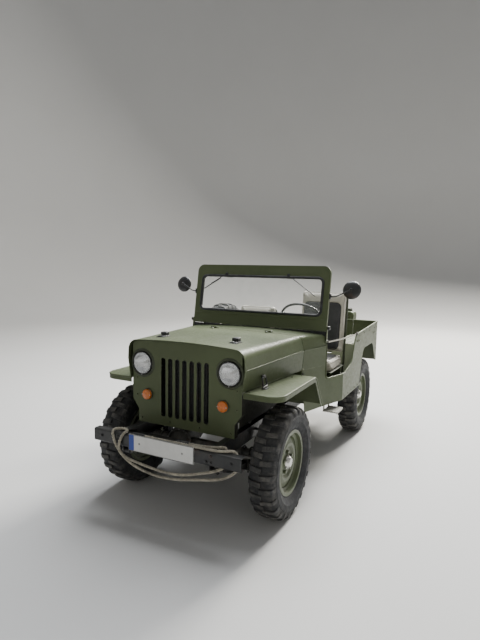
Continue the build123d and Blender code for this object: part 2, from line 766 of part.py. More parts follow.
def hood_section(y, low_x, crease, shoulder, top, crown, inset):
    """One section of the hood across the car, drawn inwards by inset."""
    foot_z = FENDER_Z + GAP - (20 if inset else 0)
    low = (low_x - inset, foot_z)
    edge_b = (crease[0] - inset, crease[1])
    edge_c = (shoulder[0] - inset, shoulder[1])
    edge_d = (top[0], top[1] - inset)
    bulge = (
        (edge_c[0] + edge_d[0]) / 2 + (edge_d[1] - edge_c[1]) * 0.2,
        (edge_c[1] + edge_d[1]) / 2 + (edge_c[0] - edge_d[0]) * 0.2,
    )
    mid = (0, crown - inset)

    def flip(point):
        return (-point[0], point[1])

    edges = [
        Line(low, edge_b),
        Line(edge_b, edge_c),
        ThreePointArc(edge_c, bulge, edge_d),
        ThreePointArc(edge_d, mid, flip(edge_d)),
        ThreePointArc(flip(edge_d), flip(bulge), flip(edge_c)),
        Line(flip(edge_c), flip(edge_b)),
        Line(flip(edge_b), flip(low)),
        Line(flip(low), low),
    ]
    return Pos(0, y, 0) * (Plane.XZ * make_face(edges))


HOOD_SECTIONS = (
    # y, half width at the foot, crease, foot of the shoulder, top of the shoulder, crown
    (HOOD_FRONT_Y, 447.0, (468.0, 1040.0), (464.0, 1100.0), (396.0, 1174.0), 1188.0),
    (HOOD_REAR_Y, 545.0, (560.0, 1058.0), (538.0, 1132.0), (484.0, 1170.0), 1181.0),
)


def hood_form(y_from, y_to, inset):
    """The hood's body between two places, its sections read off the two above."""
    front, rear = HOOD_SECTIONS

    def between(a, b, share):
        if isinstance(a, tuple):
            return tuple(between(p, q, share) for p, q in zip(a, b))
        return a + (b - a) * share

    faces = []
    for y in (y_from, y_to):
        share = (y - front[0]) / (rear[0] - front[0])
        faces.append(hood_section(y, *[between(a, b, share) for a, b in zip(front[1:], rear[1:])], inset))
    return loft(faces, ruled=True)


def hood():
    """The hood with its sides, open at the front, the rear and below."""
    skin = hood_form(HOOD_FRONT_Y, HOOD_REAR_Y, 0) - hood_form(HOOD_FRONT_Y - 5, HOOD_REAR_Y + 5, SHEET)
    buffers = [
        rod(20, (281, -67, 1170), (281, -67, 1212)),
        rod(20, (-300, -90, 1170), (-300, -90, 1212)),
    ]
    body = joined([skin, *buffers])
    for x in (-HOOD_HINGE_X, HOOD_HINGE_X):
        body = body + hood_hinge_moving(x) - hinge_bar(3 + SEAM, x - 27, x + 27)
    return body


def grille_form(y_from, y_to, inset):
    """The grille's body: the hood's section between upright sides, with cut lower corners."""
    half = GRILLE_HALF_WIDTH - inset
    foot = GRILLE_FOOT_HALF_WIDTH - inset
    upper = hood_form(y_from, y_to, SHEET + GAP + inset)
    upper = upper & block((-half, half), (y_from - 1, y_to + 1), (900, 1200))
    low_z = GRILLE_BOTTOM_Z - (5 if inset else 0)
    right_side = [(foot, low_z), (foot, GRILLE_CORNER_LOW_Z), (half, GRILLE_CORNER_HIGH_Z), (half, 920)]
    outline = right_side + [(-x, z) for x, z in right_side[::-1]]
    return upper + along(face_of(outline), y_from, y_to)


def grille():
    """The pressed front with its slots, lamp openings and turned-back edges."""
    outer = grille_form(GRILLE_Y, GRILLE_Y + GRILLE_RETURN, 0)
    body = outer - grille_form(GRILLE_Y + SHEET, GRILLE_Y + GRILLE_RETURN + 5, SHEET)
    for index in range(SLOT_COUNT):
        x = (index - (SLOT_COUNT - 1) / 2) * SLOT_PITCH
        middle = Pos(x, (SLOT_TOP_Z + SLOT_BOTTOM_Z) / 2)
        slot = middle * SlotOverall(SLOT_TOP_Z - SLOT_BOTTOM_Z, SLOT_WIDTH, rotation=90)
        body = body - along(slot, GRILLE_Y - 10, GRILLE_Y + 12)
    for side in (-1, 1):
        start = (side * HEADLAMP_X, GRILLE_Y - 10, HEADLAMP_Z)
        body = body - rod(HEADLAMP_RADIUS + SEAM, start, (start[0], GRILLE_Y + 12, start[2]))
        start = (side * INDICATOR_X, GRILLE_Y - 10, INDICATOR_Z)
        body = body - rod(30, start, (start[0], GRILLE_Y + 12, start[2]))
    return body


def headlamps():
    """Lamp bowls in the grille with domed lenses."""
    lamps = []
    y = GRILLE_Y
    for side in (-1, 1):
        profile = [
            (0, y - 24),
            (40, y - 20),
            (70, y - 12),
            (HEADLAMP_RADIUS, y - 3),
            (HEADLAMP_RADIUS, y + 8),
            (70, y + 45),
            (30, y + 62),
            (0, y + 62),
        ]
        bowl = revolve(face_of(profile), Axis.Y)
        lamps.append(Pos(side * HEADLAMP_X, 0, HEADLAMP_Z) * bowl)
    return side_by_side(*lamps)


def signal_lamps():
    """Two amber lamps on the grille and two tail lamps on the rear corners."""
    lamps = []
    for side in (-1, 1):
        x = side * INDICATOR_X
        base = rod(29, (x, GRILLE_Y + 15, INDICATOR_Z), (x, GRILLE_Y, INDICATOR_Z))
        lens = rod(INDICATOR_RADIUS, (x, GRILLE_Y, INDICATOR_Z), (x, GRILLE_Y - 32, INDICATOR_Z))
        lens = fillet(lens.edges().sort_by(Axis.Y)[0], 12)
        lamps.append(base + lens)
        x = side * 640
        base = block((x - 24, x + 24), (TUB_REAR_Y, TUB_REAR_Y + 8), (856, 904))
        lens = rod(44, (x, TUB_REAR_Y + 8, 880), (x, TUB_REAR_Y + 50, 880))
        lens = fillet(lens.edges().sort_by(Axis.Y)[-1], 12)
        lamps.append(base + lens)
    return side_by_side(*lamps)


def fender_plan(shift):
    """The wing's plan as a prism, rounded at the front outer corner."""
    prism = block(
        (FENDER_INNER_X - shift, FENDER_OUTER_X - shift),
        (FENDER_FRONT_Y + shift, FENDER_FOOT_Y + 40),
        (500, 1000),
    )
    return fillet(prism.edges().filter_by(Axis.Z).group_by(Axis.X)[-1].sort_by(Axis.Y)[0], FENDER_CORNER)


def fender():
    """The left front wing: flat top, slanting rear, turned-down lip and inner apron."""
    side_view = [
        (FENDER_FRONT_Y, FENDER_Z),
        (FENDER_REAR_Y, FENDER_Z),
        (FENDER_FOOT_Y, FENDER_FOOT_Z),
    ]
    sheet = across(strip(side_view, -SHEET), FENDER_INNER_X, FENDER_OUTER_X) & fender_plan(0)
    lip = across(strip(side_view, -FENDER_LIP), FENDER_INNER_X, FENDER_OUTER_X) & fender_plan(0)
    lip = lip - fender_plan(SHEET)
    apron_view = [
        (FENDER_FRONT_Y + 60, FENDER_Z - SHEET),
        (FENDER_REAR_Y + 50, FENDER_Z - SHEET),
        (FENDER_REAR_Y + 50, APRON_LOW_Z),
        (FENDER_FRONT_Y + 60, APRON_LOW_Z),
    ]
    apron = across(face_of(apron_view), FENDER_INNER_X, FENDER_INNER_X + SHEET)
    below_wing = across(face_of(side_view + [(FENDER_FRONT_Y, FENDER_FOOT_Z - 20)]), 0, FENDER_OUTER_X)
    beside_grille = block((0, 449.5), (FENDER_FRONT_Y - 1, GRILLE_Y + GRILLE_RETURN + 0.5), (500, 1000))
    return joined([sheet, lip, apron & below_wing]) - beside_grille


COWL_SECTIONS = (
    # y, half width at the foot, crease, foot of the shoulder, top of the shoulder, crown
    (HOOD_REAR_Y + GAP, 546.0, (561.0, 1058.0), (539.0, 1132.0), (486.0, 1170.0), 1181.0),
    (DASH_Y, 640.0, (642.0, 1060.0), (638.0, 1118.0), (604.0, 1150.0), 1172.0),
)


def cowl_form(inset):
    """The body between hood and dash, drawn inwards by inset."""
    front, rear = COWL_SECTIONS
    spread = 5 if inset else 0
    front_face = hood_section(front[0] - spread, *front[1:], inset)
    rear_face = hood_section(rear[0] + spread, *rear[1:], inset)
    return loft([front_face, rear_face], ruled=True)


def column_line(radius):
    """A bar along the steering column's axis."""
    angle = math.radians(COLUMN_RAKE)
    top = (COLUMN_X, COLUMN_TOP_Y, COLUMN_TOP_Z)
    foot = (
        COLUMN_X,
        COLUMN_TOP_Y - COLUMN_LENGTH * math.cos(angle),
        COLUMN_TOP_Z - COLUMN_LENGTH * math.sin(angle),
    )
    return rod(radius, foot, top)


def cowl():
    """Scuttle top and sides, firewall and dash panel."""
    front_y = COWL_SECTIONS[0][0]
    form = cowl_form(0)
    skin = form - cowl_form(SHEET)
    firewall = form & block((-700, 700), (front_y, front_y + SHEET), (500, 1300))
    foot_x = COWL_SECTIONS[0][1] - SHEET - SEAM
    lower = block((-foot_x, foot_x), (front_y, front_y + SHEET), (FIREWALL_BOTTOM_Z, FENDER_Z + GAP + 1))
    dash = form & block((-700, 700), (DASH_Y - SHEET, DASH_Y), (DASH_BOTTOM_Z, 1300))
    body = joined([skin, firewall, lower, dash])
    for side_sign in (-1, 1):
        body = body + screen_bracket(side_sign) + hood_hinge_fixed(side_sign * HOOD_HINGE_X)
    return body - column_line(COLUMN_RADIUS + 6)


def screen_bracket(side_sign):
    """A plate that stands on the cowl's side and carries the windscreen's pivot."""
    near = side_sign * (SCREEN_HALF_WIDTH + 1)
    far = side_sign * (SCREEN_HALF_WIDTH + 7)
    low, high = sorted((near, far))
    plate_view = [(824, 1086), (850, 1086), (866, SCREEN_PIVOT_Z - 4), (834, SCREEN_PIVOT_Z - 4)]
    plate = across(face_of(plate_view), low, high)
    head = rod(16, (near, SCREEN_PIVOT_Y, SCREEN_PIVOT_Z), (far, SCREEN_PIVOT_Y, SCREEN_PIVOT_Z))
    foot_span = sorted((side_sign * 626, far))
    foot = block(foot_span, (824, 850), (1086, 1096))
    bore = rod(
        SCREEN_PIN_RADIUS + SEAM,
        (near - side_sign, SCREEN_PIVOT_Y, SCREEN_PIVOT_Z),
        (far + side_sign, SCREEN_PIVOT_Y, SCREEN_PIVOT_Z),
    )
    return plate + head + foot - bore


def hinge_bar(radius, x_from, x_to):
    """A bar on the hood hinge's axis."""
    return rod(radius, (x_from, HOOD_PIVOT_Y, HOOD_PIVOT_Z), (x_to, HOOD_PIVOT_Y, HOOD_PIVOT_Z))


def hood_hinge_fixed(x):
    """The cowl's half of a hood hinge: a leaf, two barrels and the pin."""
    leaf = block((x - 26, x + 26), (HOOD_PIVOT_Y + 8, 575), (1170, HOOD_PIVOT_Z - 3))
    pieces = [leaf]
    for start, end in ((x - 26, x - 10.4), (x + 10.4, x + 26)):
        pieces.append(block((start, end), (HOOD_REAR_Y + GAP, HOOD_PIVOT_Y + 9), (1170, HOOD_PIVOT_Z - 3)))
        pieces.append(hinge_bar(6, start, end))
    pieces.append(hinge_bar(3, x - 26, x + 26))
    return joined(pieces)


def hood_hinge_moving(x):
    """The hood's half of a hood hinge."""
    leaf = block((x - 10, x + 10), (500, HOOD_REAR_Y + 0.5), (1174, HOOD_PIVOT_Z - 3))
    return leaf + hinge_bar(6, x - 10, x + 10)


SIDE_PATH = (
    # x, y in plan: the side runs outwards from the scuttle to the full width behind the door's middle
    (546.0, HOOD_REAR_Y + GAP),
    (640.0, DOOR_FRONT_Y),
    (TUB_HALF_WIDTH, TUB_WIDEST_Y),
    (TUB_HALF_WIDTH, TUB_REAR_Y),
)


def side():
    """The left body side with its door cut-out, wheel arch and rolled top edge."""
    wall = upright(strip(SIDE_PATH, SHEET), SIDE_BOTTOM_Z, TUB_TOP_Z + 20)
    cowl_foot = FENDER_Z + GAP - 0.5
    front_part = [
        (590, SIDE_BOTTOM_Z - 1),
        (FENDER_FOOT_Y + 0.4, FENDER_FOOT_Z),
        (541, 694.8),
        (541, cowl_foot),
        (DOOR_FRONT_Y + 8, cowl_foot),
        (DOOR_FRONT_Y + 8, SIDE_BOTTOM_Z - 1),
    ]
    main_part = [
        (DOOR_FRONT_Y, SIDE_BOTTOM_Z - 1),
        (DOOR_FRONT_Y, cowl_foot),
        (1545, TUB_DOOR_TOP_Z),
        (TUB_REAR_Y, TUB_TOP_Z),
        (TUB_REAR_Y, SIDE_BOTTOM_Z - 1),
    ]
    wall = (wall & across(face_of(front_part), 0, 800)) + (wall & across(face_of(main_part), 0, 800))
    door_cut = FilletPolyline(
        (DOOR_FRONT_Y, 1400),
        (DOOR_FRONT_Y, DOOR_LOW_Z),
        (1140, DOOR_LOW_Z + 8),
        (1382, 836),
        (1472, 1036),
        (1548, 1090),
        (1548, 1400),
        radius=(5, 70, 60, 70, 45, 5, 5),
        close=True,
    )
    arch_cut = FilletPolyline(
        (1700, 500),
        (1748, 640),
        (1850, ARCH_TOP_Z),
        (2300, ARCH_TOP_Z),
        (2450, TUB_REAR_BOTTOM_Z),
        (2600, TUB_REAR_BOTTOM_Z),
        (2600, 500),
        radius=(5, 60, 130, 130, 40, 5, 5),
        close=True,
    )
    wall = wall - across(make_face(door_cut), 0, 800) - across(make_face(arch_cut), 0, 800)
    bead_x = TUB_HALF_WIDTH - SHEET
    bead = rod(TOP_BEAD, (bead_x, 1552, TUB_DOOR_TOP_Z), (bead_x, TUB_REAR_Y - 4, TUB_TOP_Z))
    return wall + bead


def tub_floor():
    """Front floor with toe board and tunnel, rear floor with its step, and two wheelhouses."""
    front_y = COWL_SECTIONS[0][0] + SHEET
    line = [
        (front_y, FIREWALL_BOTTOM_Z),
        (700, FRONT_FLOOR_Z),
        (FLOOR_STEP_Y, FRONT_FLOOR_Z),
        (FLOOR_STEP_Y, REAR_FLOOR_Z),
        (TUB_REAR_Y - SHEET, REAR_FLOOR_Z),
    ]
    inside = [(x - SHEET - 2 * SEAM, y) for x, y in SIDE_PATH]
    plan = inside + [(-x, y) for x, y in inside[::-1]]
    floor = across(strip(line, SHEET), -TUB_HALF_WIDTH, TUB_HALF_WIDTH)
    floor = floor & upright(face_of(plan), 400, 1200)
    above = across(face_of(line[:3] + [(FLOOR_STEP_Y, 1000), (front_y, 1000)]), -200, 200)
    tunnel_view = [
        (front_y, 400),
        (front_y, TUNNEL_TOP_Z),
        (820, TUNNEL_TOP_Z),
        (TUNNEL_REAR_Y, FRONT_FLOOR_Z + 30),
        (TUNNEL_REAR_Y, 400),
    ]
    hollow_view = [
        (front_y - 1, 399),
        (front_y - 1, TUNNEL_TOP_Z - SHEET),
        (819, TUNNEL_TOP_Z - SHEET),
        (TUNNEL_REAR_Y - SHEET, FRONT_FLOOR_Z + 27),
        (TUNNEL_REAR_Y - SHEET, 399),
    ]
    outer = across(face_of(tunnel_view), -TUNNEL_HALF_WIDTH, TUNNEL_HALF_WIDTH)
    hollow = across(face_of(hollow_view), -TUNNEL_HALF_WIDTH + SHEET, TUNNEL_HALF_WIDTH - SHEET)
    floor = floor + (outer & above) - hollow
    opening = block(
        (WHEELHOUSE_INNER_X + SHEET, TUB_HALF_WIDTH),
        (WHEELHOUSE_FRONT_Y + 6, WHEELHOUSE_REAR_Y - 6),
        (REAR_FLOOR_Z - 5, REAR_FLOOR_Z + SHEET + 1),
    )
    floor = floor - opening - mirrored(opening) - column_line(COLUMN_RADIUS + 6)
    step_y = FLOOR_STEP_Y - SHEET
    front = floor & block((-TUB_HALF_WIDTH, TUB_HALF_WIDTH), (0, step_y - SEAM), (400, 1200))
    rear = floor & block((-TUB_HALF_WIDTH, TUB_HALF_WIDTH), (step_y, TUB_REAR_Y), (400, 1200))
    return side_by_side(front, rear, wheelhouse(), mirrored(wheelhouse()))


def wheelhouse():
    """The left box over a rear wheel, open below, that stands on the rear floor."""
    foot_z = REAR_FLOOR_Z
    outline = [
        (WHEELHOUSE_FRONT_Y, foot_z),
        (WHEELHOUSE_FRONT_Y + 120, WHEELHOUSE_TOP_Z),
        (WHEELHOUSE_REAR_Y - 110, WHEELHOUSE_TOP_Z),
        (WHEELHOUSE_REAR_Y, foot_z),
    ]
    cover = across(strip(outline, -SHEET), WHEELHOUSE_INNER_X, TUB_HALF_WIDTH - SHEET)
    wall = across(face_of(outline), WHEELHOUSE_INNER_X, WHEELHOUSE_INNER_X + SHEET)
    above = (foot_z + SHEET + SEAM, WHEELHOUSE_TOP_Z + SHEET)
    y_span = (WHEELHOUSE_FRONT_Y - SHEET, WHEELHOUSE_REAR_Y + SHEET)
    return (cover + wall) & block((0, TUB_HALF_WIDTH), y_span, above)


def rear_panel():
    """Rear corners and sill around the tailgate."""
    half = TUB_HALF_WIDTH - SHEET
    gate = TAILGATE_HALF_WIDTH + GAP
    sill = TAILGATE_BOTTOM_Z - GAP
    outline = [
        (-half, TUB_REAR_BOTTOM_Z),
        (half, TUB_REAR_BOTTOM_Z),
        (half, TUB_TOP_Z - 2),
        (gate, TUB_TOP_Z - 2),
        (gate, sill),
        (-gate, sill),
        (-gate, TUB_TOP_Z - 2),
        (-half, TUB_TOP_Z - 2),
    ]
    panel = along(face_of(outline), TUB_REAR_Y - SHEET, TUB_REAR_Y)
    beads = []
    for side_sign in (-1, 1):
        start = (side_sign * gate, TUB_REAR_Y - 1.5, TUB_TOP_Z)
        beads.append(rod(TOP_BEAD, start, (side_sign * (half - TOP_BEAD - 1), TUB_REAR_Y - 1.5, TUB_TOP_Z)))
    ears = []
    ear_z = (TAILGATE_PIVOT_Z - 8, TAILGATE_PIVOT_Z + 7)
    for x in TAILGATE_HINGES:
        for low in (x - 45, x + 35.5):
            ears.append(block((low, low + 9.5), (TUB_REAR_Y, TAILGATE_PIVOT_Y), ear_z))
            ears.append(gate_bar(8, low, low + 9.5))
        ears.append(gate_bar(GATE_PIN_RADIUS, x - 45, x + 45))
    return joined([panel, *beads, *ears])


def gate_bar(radius, x_from, x_to):
    """A bar on the tailgate hinge's axis."""
    pivot = (TAILGATE_PIVOT_Y, TAILGATE_PIVOT_Z)
    return rod(radius, (x_from, *pivot), (x_to, *pivot))


def tailgate():
    """The drop tailgate with its rolled top, ribs, hinge leaves and can rack."""
    half = TAILGATE_HALF_WIDTH
    plate = block((-half, half), (TUB_REAR_Y - SHEET, TUB_REAR_Y), (TAILGATE_BOTTOM_Z, TUB_TOP_Z))
    bead = rod(TOP_BEAD, (-half, TUB_REAR_Y - 1.5, TUB_TOP_Z), (half, TUB_REAR_Y - 1.5, TUB_TOP_Z))
    pieces = [plate, bead]
    leaf_z = (TAILGATE_PIVOT_Z + 3, TAILGATE_PIVOT_Z + 60)
    for x in TAILGATE_HINGES:
        pieces.append(block((x - 35, x + 35), (TUB_REAR_Y, TUB_REAR_Y + SHEET), leaf_z))
        pieces.append(gate_bar(7, x - 35, x + 35))
    rack_x = (CAN_X - CAN_WIDTH / 2 - 1.5, CAN_X + CAN_WIDTH / 2 + 1.5)
    can_rear_y = TUB_REAR_Y + CAN_OFF_GATE + CAN_DEPTH
    pieces.append(block(rack_x, (TUB_REAR_Y, can_rear_y + 5), (CAN_LOW_Z - 5, CAN_LOW_Z - SEAM)))
    pieces.append(block(rack_x, (can_rear_y + 1, can_rear_y + 5), (CAN_LOW_Z - 5, CAN_LOW_Z + 40)))
    gate = joined(pieces)
    for x in TAILGATE_HINGES:
        gate = gate - gate_bar(GATE_PIN_RADIUS + SEAM, x - 36, x + 36)
    return gate


def jerry_can():
    """A pressed fuel can with three handles and a capped spout."""
    y_from = TUB_REAR_Y + CAN_OFF_GATE
    can_x = (CAN_X - CAN_WIDTH / 2, CAN_X + CAN_WIDTH / 2)
    body = block(can_x, (y_from, y_from + CAN_DEPTH), (CAN_LOW_Z, CAN_LOW_Z + 410))
    body = fillet(body.edges().filter_by(Axis.Y), 45)
    body = fillet(body.faces().sort_by(Axis.Y)[0].edges() + body.faces().sort_by(Axis.Y)[-1].edges(), 14)
    top = CAN_LOW_Z + 410
    pieces = [body]
    for y in (y_from + 35, y_from + CAN_DEPTH / 2, y_from + CAN_DEPTH - 35):
        route = [
            (CAN_X - 105, y, top - 10),
            (CAN_X - 105, y, top + 34),
            (CAN_X + 45, y, top + 34),
            (CAN_X + 45, y, top - 10),
        ]
        pieces.append(tube_along(route, 20, 8))
    middle_y = y_from + CAN_DEPTH / 2
    spout = rod(27, (CAN_X + 105, middle_y, top - 30), (CAN_X + 112, middle_y, top + 32))
    pieces.append(spout)
    return joined(pieces)


def upright_screen_to_car(piece):
    """Leans a piece that was drawn upright about the windscreen's pivot and sets it on the car."""
    return Pos(0, SCREEN_PIVOT_Y, SCREEN_PIVOT_Z) * Rot(-SCREEN_LEAN, 0, 0) * piece


def glass_face(spread):
    """The glass opening's outline, grown by spread."""
    width = 2 * (GLASS_HALF_WIDTH + spread)
    tall = GLASS_TOP - GLASS_BOTTOM + 2 * spread
    return Pos(0, (GLASS_TOP + GLASS_BOTTOM) / 2) * RectangleRounded(width, tall, GLASS_CORNER + spread)


def windscreen_frame():
    """The folding screen's pressed frame: glass opening above, closed panel below."""
    half = SCREEN_DEPTH / 2
    outline = FilletPolyline(
        (-SCREEN_HALF_WIDTH, -SCREEN_BELOW_PIVOT),
        (SCREEN_HALF_WIDTH, -SCREEN_BELOW_PIVOT),
        (SCREEN_HALF_WIDTH, SCREEN_HEIGHT),
        (-SCREEN_HALF_WIDTH, SCREEN_HEIGHT),
        radius=(12, 12, SCREEN_CORNER, SCREEN_CORNER),
        close=True,
    )
    body = along(make_face(outline), -half, half)
    body = body - along(glass_face(-8), -half - 1, half + 1)
    body = body - along(glass_face(1), -GLASS_SHEET / 2 - 0.3, half + 1)
    for side_sign in (-1, 1):
        start = (side_sign * (SCREEN_HALF_WIDTH - 8), 0, 0)
        body = body + rod(SCREEN_PIN_RADIUS, start, (side_sign * (SCREEN_HALF_WIDTH + 9), 0, 0))
    return upright_screen_to_car(body)


def windscreen_glass():
    """The flat pane in its rebate."""
    return upright_screen_to_car(along(glass_face(0), -GLASS_SHEET / 2, GLASS_SHEET / 2))


def wipers():
    """Two wiper arms that hang from the top rail ahead of the glass."""
    ahead = -SCREEN_DEPTH / 2
    arms = []
    for top, tip in WIPER_LINES:
        start = (top[0], ahead - 12, top[1])
        motor = rod(11, (top[0], ahead, top[1]), (top[0], ahead - 17, top[1]))
        arms.append(motor + rod(WIPER_RADIUS, start, (tip[0], ahead - 12, tip[1])))
    return upright_screen_to_car(side_by_side(*arms))


def mirrors():
    """A round mirror on a cranked arm at each side of the screen."""
    edge = SCREEN_HALF_WIDTH + 0.3
    arm_route = [(edge, 0, 262), (690, 0, 262), (760, 12, 300), (MIRROR_X - 4, 26, MIRROR_HEIGHT)]
    arm = tube_along(arm_route, 25, 6)
    head = rod(MIRROR_RADIUS, (MIRROR_X, 18, MIRROR_HEIGHT), (MIRROR_X, 34, MIRROR_HEIGHT))
    head = fillet(head.edges().sort_by(Axis.Y)[0], 7)
    left = arm + head
    return upright_screen_to_car(side_by_side(left, mirrored(left)))


def steering_column():
    """The jacket tube with the steering box on the left rail."""
    foot_y = COLUMN_TOP_Y - COLUMN_LENGTH * math.cos(math.radians(COLUMN_RAKE))
    foot_z = COLUMN_TOP_Z - COLUMN_LENGTH * math.sin(math.radians(COLUMN_RAKE))
    angle = math.radians(COLUMN_RAKE)
    short = 32
    top = (COLUMN_X, COLUMN_TOP_Y - short * math.cos(angle), COLUMN_TOP_Z - short * math.sin(angle))
    jacket = rod(COLUMN_RADIUS, (COLUMN_X, foot_y, foot_z), top)
    box_z = (RAIL_FRONT_Z + RAIL_DEPTH, foot_z + 35)
    box = block((COLUMN_X - 36, COLUMN_X + 30), (foot_y - 50, foot_y + 40), box_z)
    box = fillet(box.edges().filter_by(Axis.X), 18)
    return jacket + box


def steering_wheel():
    """A thin three-spoke wheel on its hub."""
    rim_ring = Torus(WHEEL_RADIUS - WHEEL_RIM_RADIUS, WHEEL_RIM_RADIUS)
    hub = Pos(0, 0, -14) * Cylinder(30, 34)
    pieces = [rim_ring, hub]
    for index in range(3):
        angle = math.radians(90 + 120 * index)
        reach = WHEEL_RADIUS - WHEEL_RIM_RADIUS
        tip = (reach * math.cos(angle), reach * math.sin(angle), 0)
        pieces.append(rod(6, (0, 0, -10), tip))
    place = Pos(COLUMN_X, COLUMN_TOP_Y, COLUMN_TOP_Z) * Rot(-(90 - COLUMN_RAKE), 0, 0)
    return place * joined(pieces)


def seat_hoop(x, half, top_z):
    """The bent tube behind one seat's back."""
    rise = top_z - 25 - SEAT_BASE_Z
    back_y = SEAT_REAR_Y + rise * math.tan(math.radians(SEAT_LEAN))
    reach = half - SEAT_TUBE
    foot = SEAT_BASE_Z - 3
    route = [
        (x - reach, SEAT_REAR_Y, foot),
        (x - reach, back_y, top_z - 25),
        (x + reach, back_y, top_z - 25),
        (x + reach, SEAT_REAR_Y, foot),
    ]
    return tube_along(route, 60, SEAT_TUBE)


def seat_frames():
    """Both seats' pans, legs and back hoops."""
    frames = []
    for x, half, top_z in SEATS:
        pan_y = (SEAT_FRONT_Y, SEAT_REAR_Y + SEAT_TUBE)
        pieces = [block((x - half, x + half), pan_y, (SEAT_BASE_Z - 6, SEAT_BASE_Z))]
        for leg_x in (x - half + SEAT_TUBE, x + half - SEAT_TUBE):
            for leg_y in (SEAT_FRONT_Y + 14, SEAT_REAR_Y - 14):
                pieces.append(rod(8, (leg_x, leg_y, FRONT_FLOOR_Z + SHEET), (leg_x, leg_y, SEAT_BASE_Z - 3)))
        pieces.append(seat_hoop(x, half, top_z))
        frames.append(joined(pieces))
    return side_by_side(*frames)


def seat_cushions(x, half, top_z):
    """One seat's base cushion and its leaning back cushion."""
    base_z = (SEAT_BASE_Z + SEAM, SEAT_BASE_Z + 105)
    base = block((x - half + 8, x + half - 8), (SEAT_FRONT_Y + 2, SEAT_REAR_Y - 14), base_z)
    base = fillet(base.edges(), 30)
    tall = top_z - SEAT_BASE_Z - 112
    back = Pos(0, -55.3, 110 + tall / 2) * Box(2 * half - 4, 88, tall)
    back = fillet(back.edges(), 30)
    back = Pos(x, SEAT_REAR_Y, SEAT_BASE_Z) * Rot(-SEAT_LEAN, 0, 0) * back
    return side_by_side(base, back)


def shock_absorbers():
    """Four telescopic dampers between spring plates and frame."""
    dampers = []
    for y, rail_low in ((0, RAIL_FRONT_Z), (WHEELBASE, RAIL_REAR_Z)):
        foot = (SPRING_X + 56, y + 48, 284)
        head = (SPRING_X + 56, y + 84, rail_low + 55)
        line = Line(foot, head)
        body = rod(20, line @ 0.08, line @ 0.62)
        shaft = rod(11, foot, head)
        clamp_edge = SPRING_X + SPRING_WIDTH / 2 + 14 + SEAM
        lower = rod(9, (clamp_edge, foot[1], foot[2]), (foot[0] + 12, foot[1], foot[2]))
        upper = rod(9, (RAIL_HALF_SPAN + 0.3, head[1], head[2]), (head[0] + 12, head[1], head[2]))
        damper = joined([body, shaft, lower, upper])
        dampers += [damper, mirrored(damper)]
    return side_by_side(*dampers)


def steps():
    """A short step below each door."""
    plate = block((620, 742), (880, 1060), (492, 500))
    stays = [block((620, 626), (y - 15, y + 15), (492, FRONT_FLOOR_Z - SEAM)) for y in (900, 1040)]
    step = joined([plate, *stays])
    return side_by_side(step, mirrored(step))


def tow_hitch():
    """A drawbar tongue with its pin hole on the rear cross member."""
    plate = block((-75, 75), (FRAME_REAR_Y + 0.3, FRAME_REAR_Y + 8), (RAIL_REAR_Z + 8, RAIL_REAR_Z + 88))
    tongue = block((-32, 32), (FRAME_REAR_Y + 8, HITCH_Y + 32), (RAIL_REAR_Z + 40, RAIL_REAR_Z + 56))
    tongue = fillet(tongue.edges().filter_by(Axis.Z).group_by(Axis.Y)[-1], 28)
    hole = rod(HITCH_PIN_RADIUS, (0, HITCH_Y, RAIL_REAR_Z), (0, HITCH_Y, RAIL_REAR_Z + 90))
    return plate + tongue - hole


def spare_carrier():
    """A post on the right body side with a plate and five studs for the spare wheel."""
    wall = TUB_HALF_WIDTH + SEAM
    disc = SPARE_X + DISC_FACE - SEAM
    base = rod(70, (-wall, SPARE_Y, SPARE_Z), (-wall - 6, SPARE_Y, SPARE_Z))
    post = rod(42, (-wall, SPARE_Y, SPARE_Z), (-disc, SPARE_Y, SPARE_Z))
    plate = rod(86, (-disc + 8, SPARE_Y, SPARE_Z), (-disc, SPARE_Y, SPARE_Z))
    studs = [spare_place(stud) for stud in stud_ring(STUD_RADIUS, DISC_FACE - SEAM - 2, DISC_FACE + 24)]
    return joined([base, post, plate, *studs])


def spare_place(piece):
    """Turns a wheel's piece to the right and sets it on the right body side."""
    return Pos(-SPARE_X, SPARE_Y, SPARE_Z) * Rot(0, 0, 180) * piece


WHEELS = (
    # name, side of the car, fore-and-aft place
    ("front_left", 1, 0.0),
    ("front_right", -1, 0.0),
    ("rear_left", 1, WHEELBASE),
    ("rear_right", -1, WHEELBASE),
)


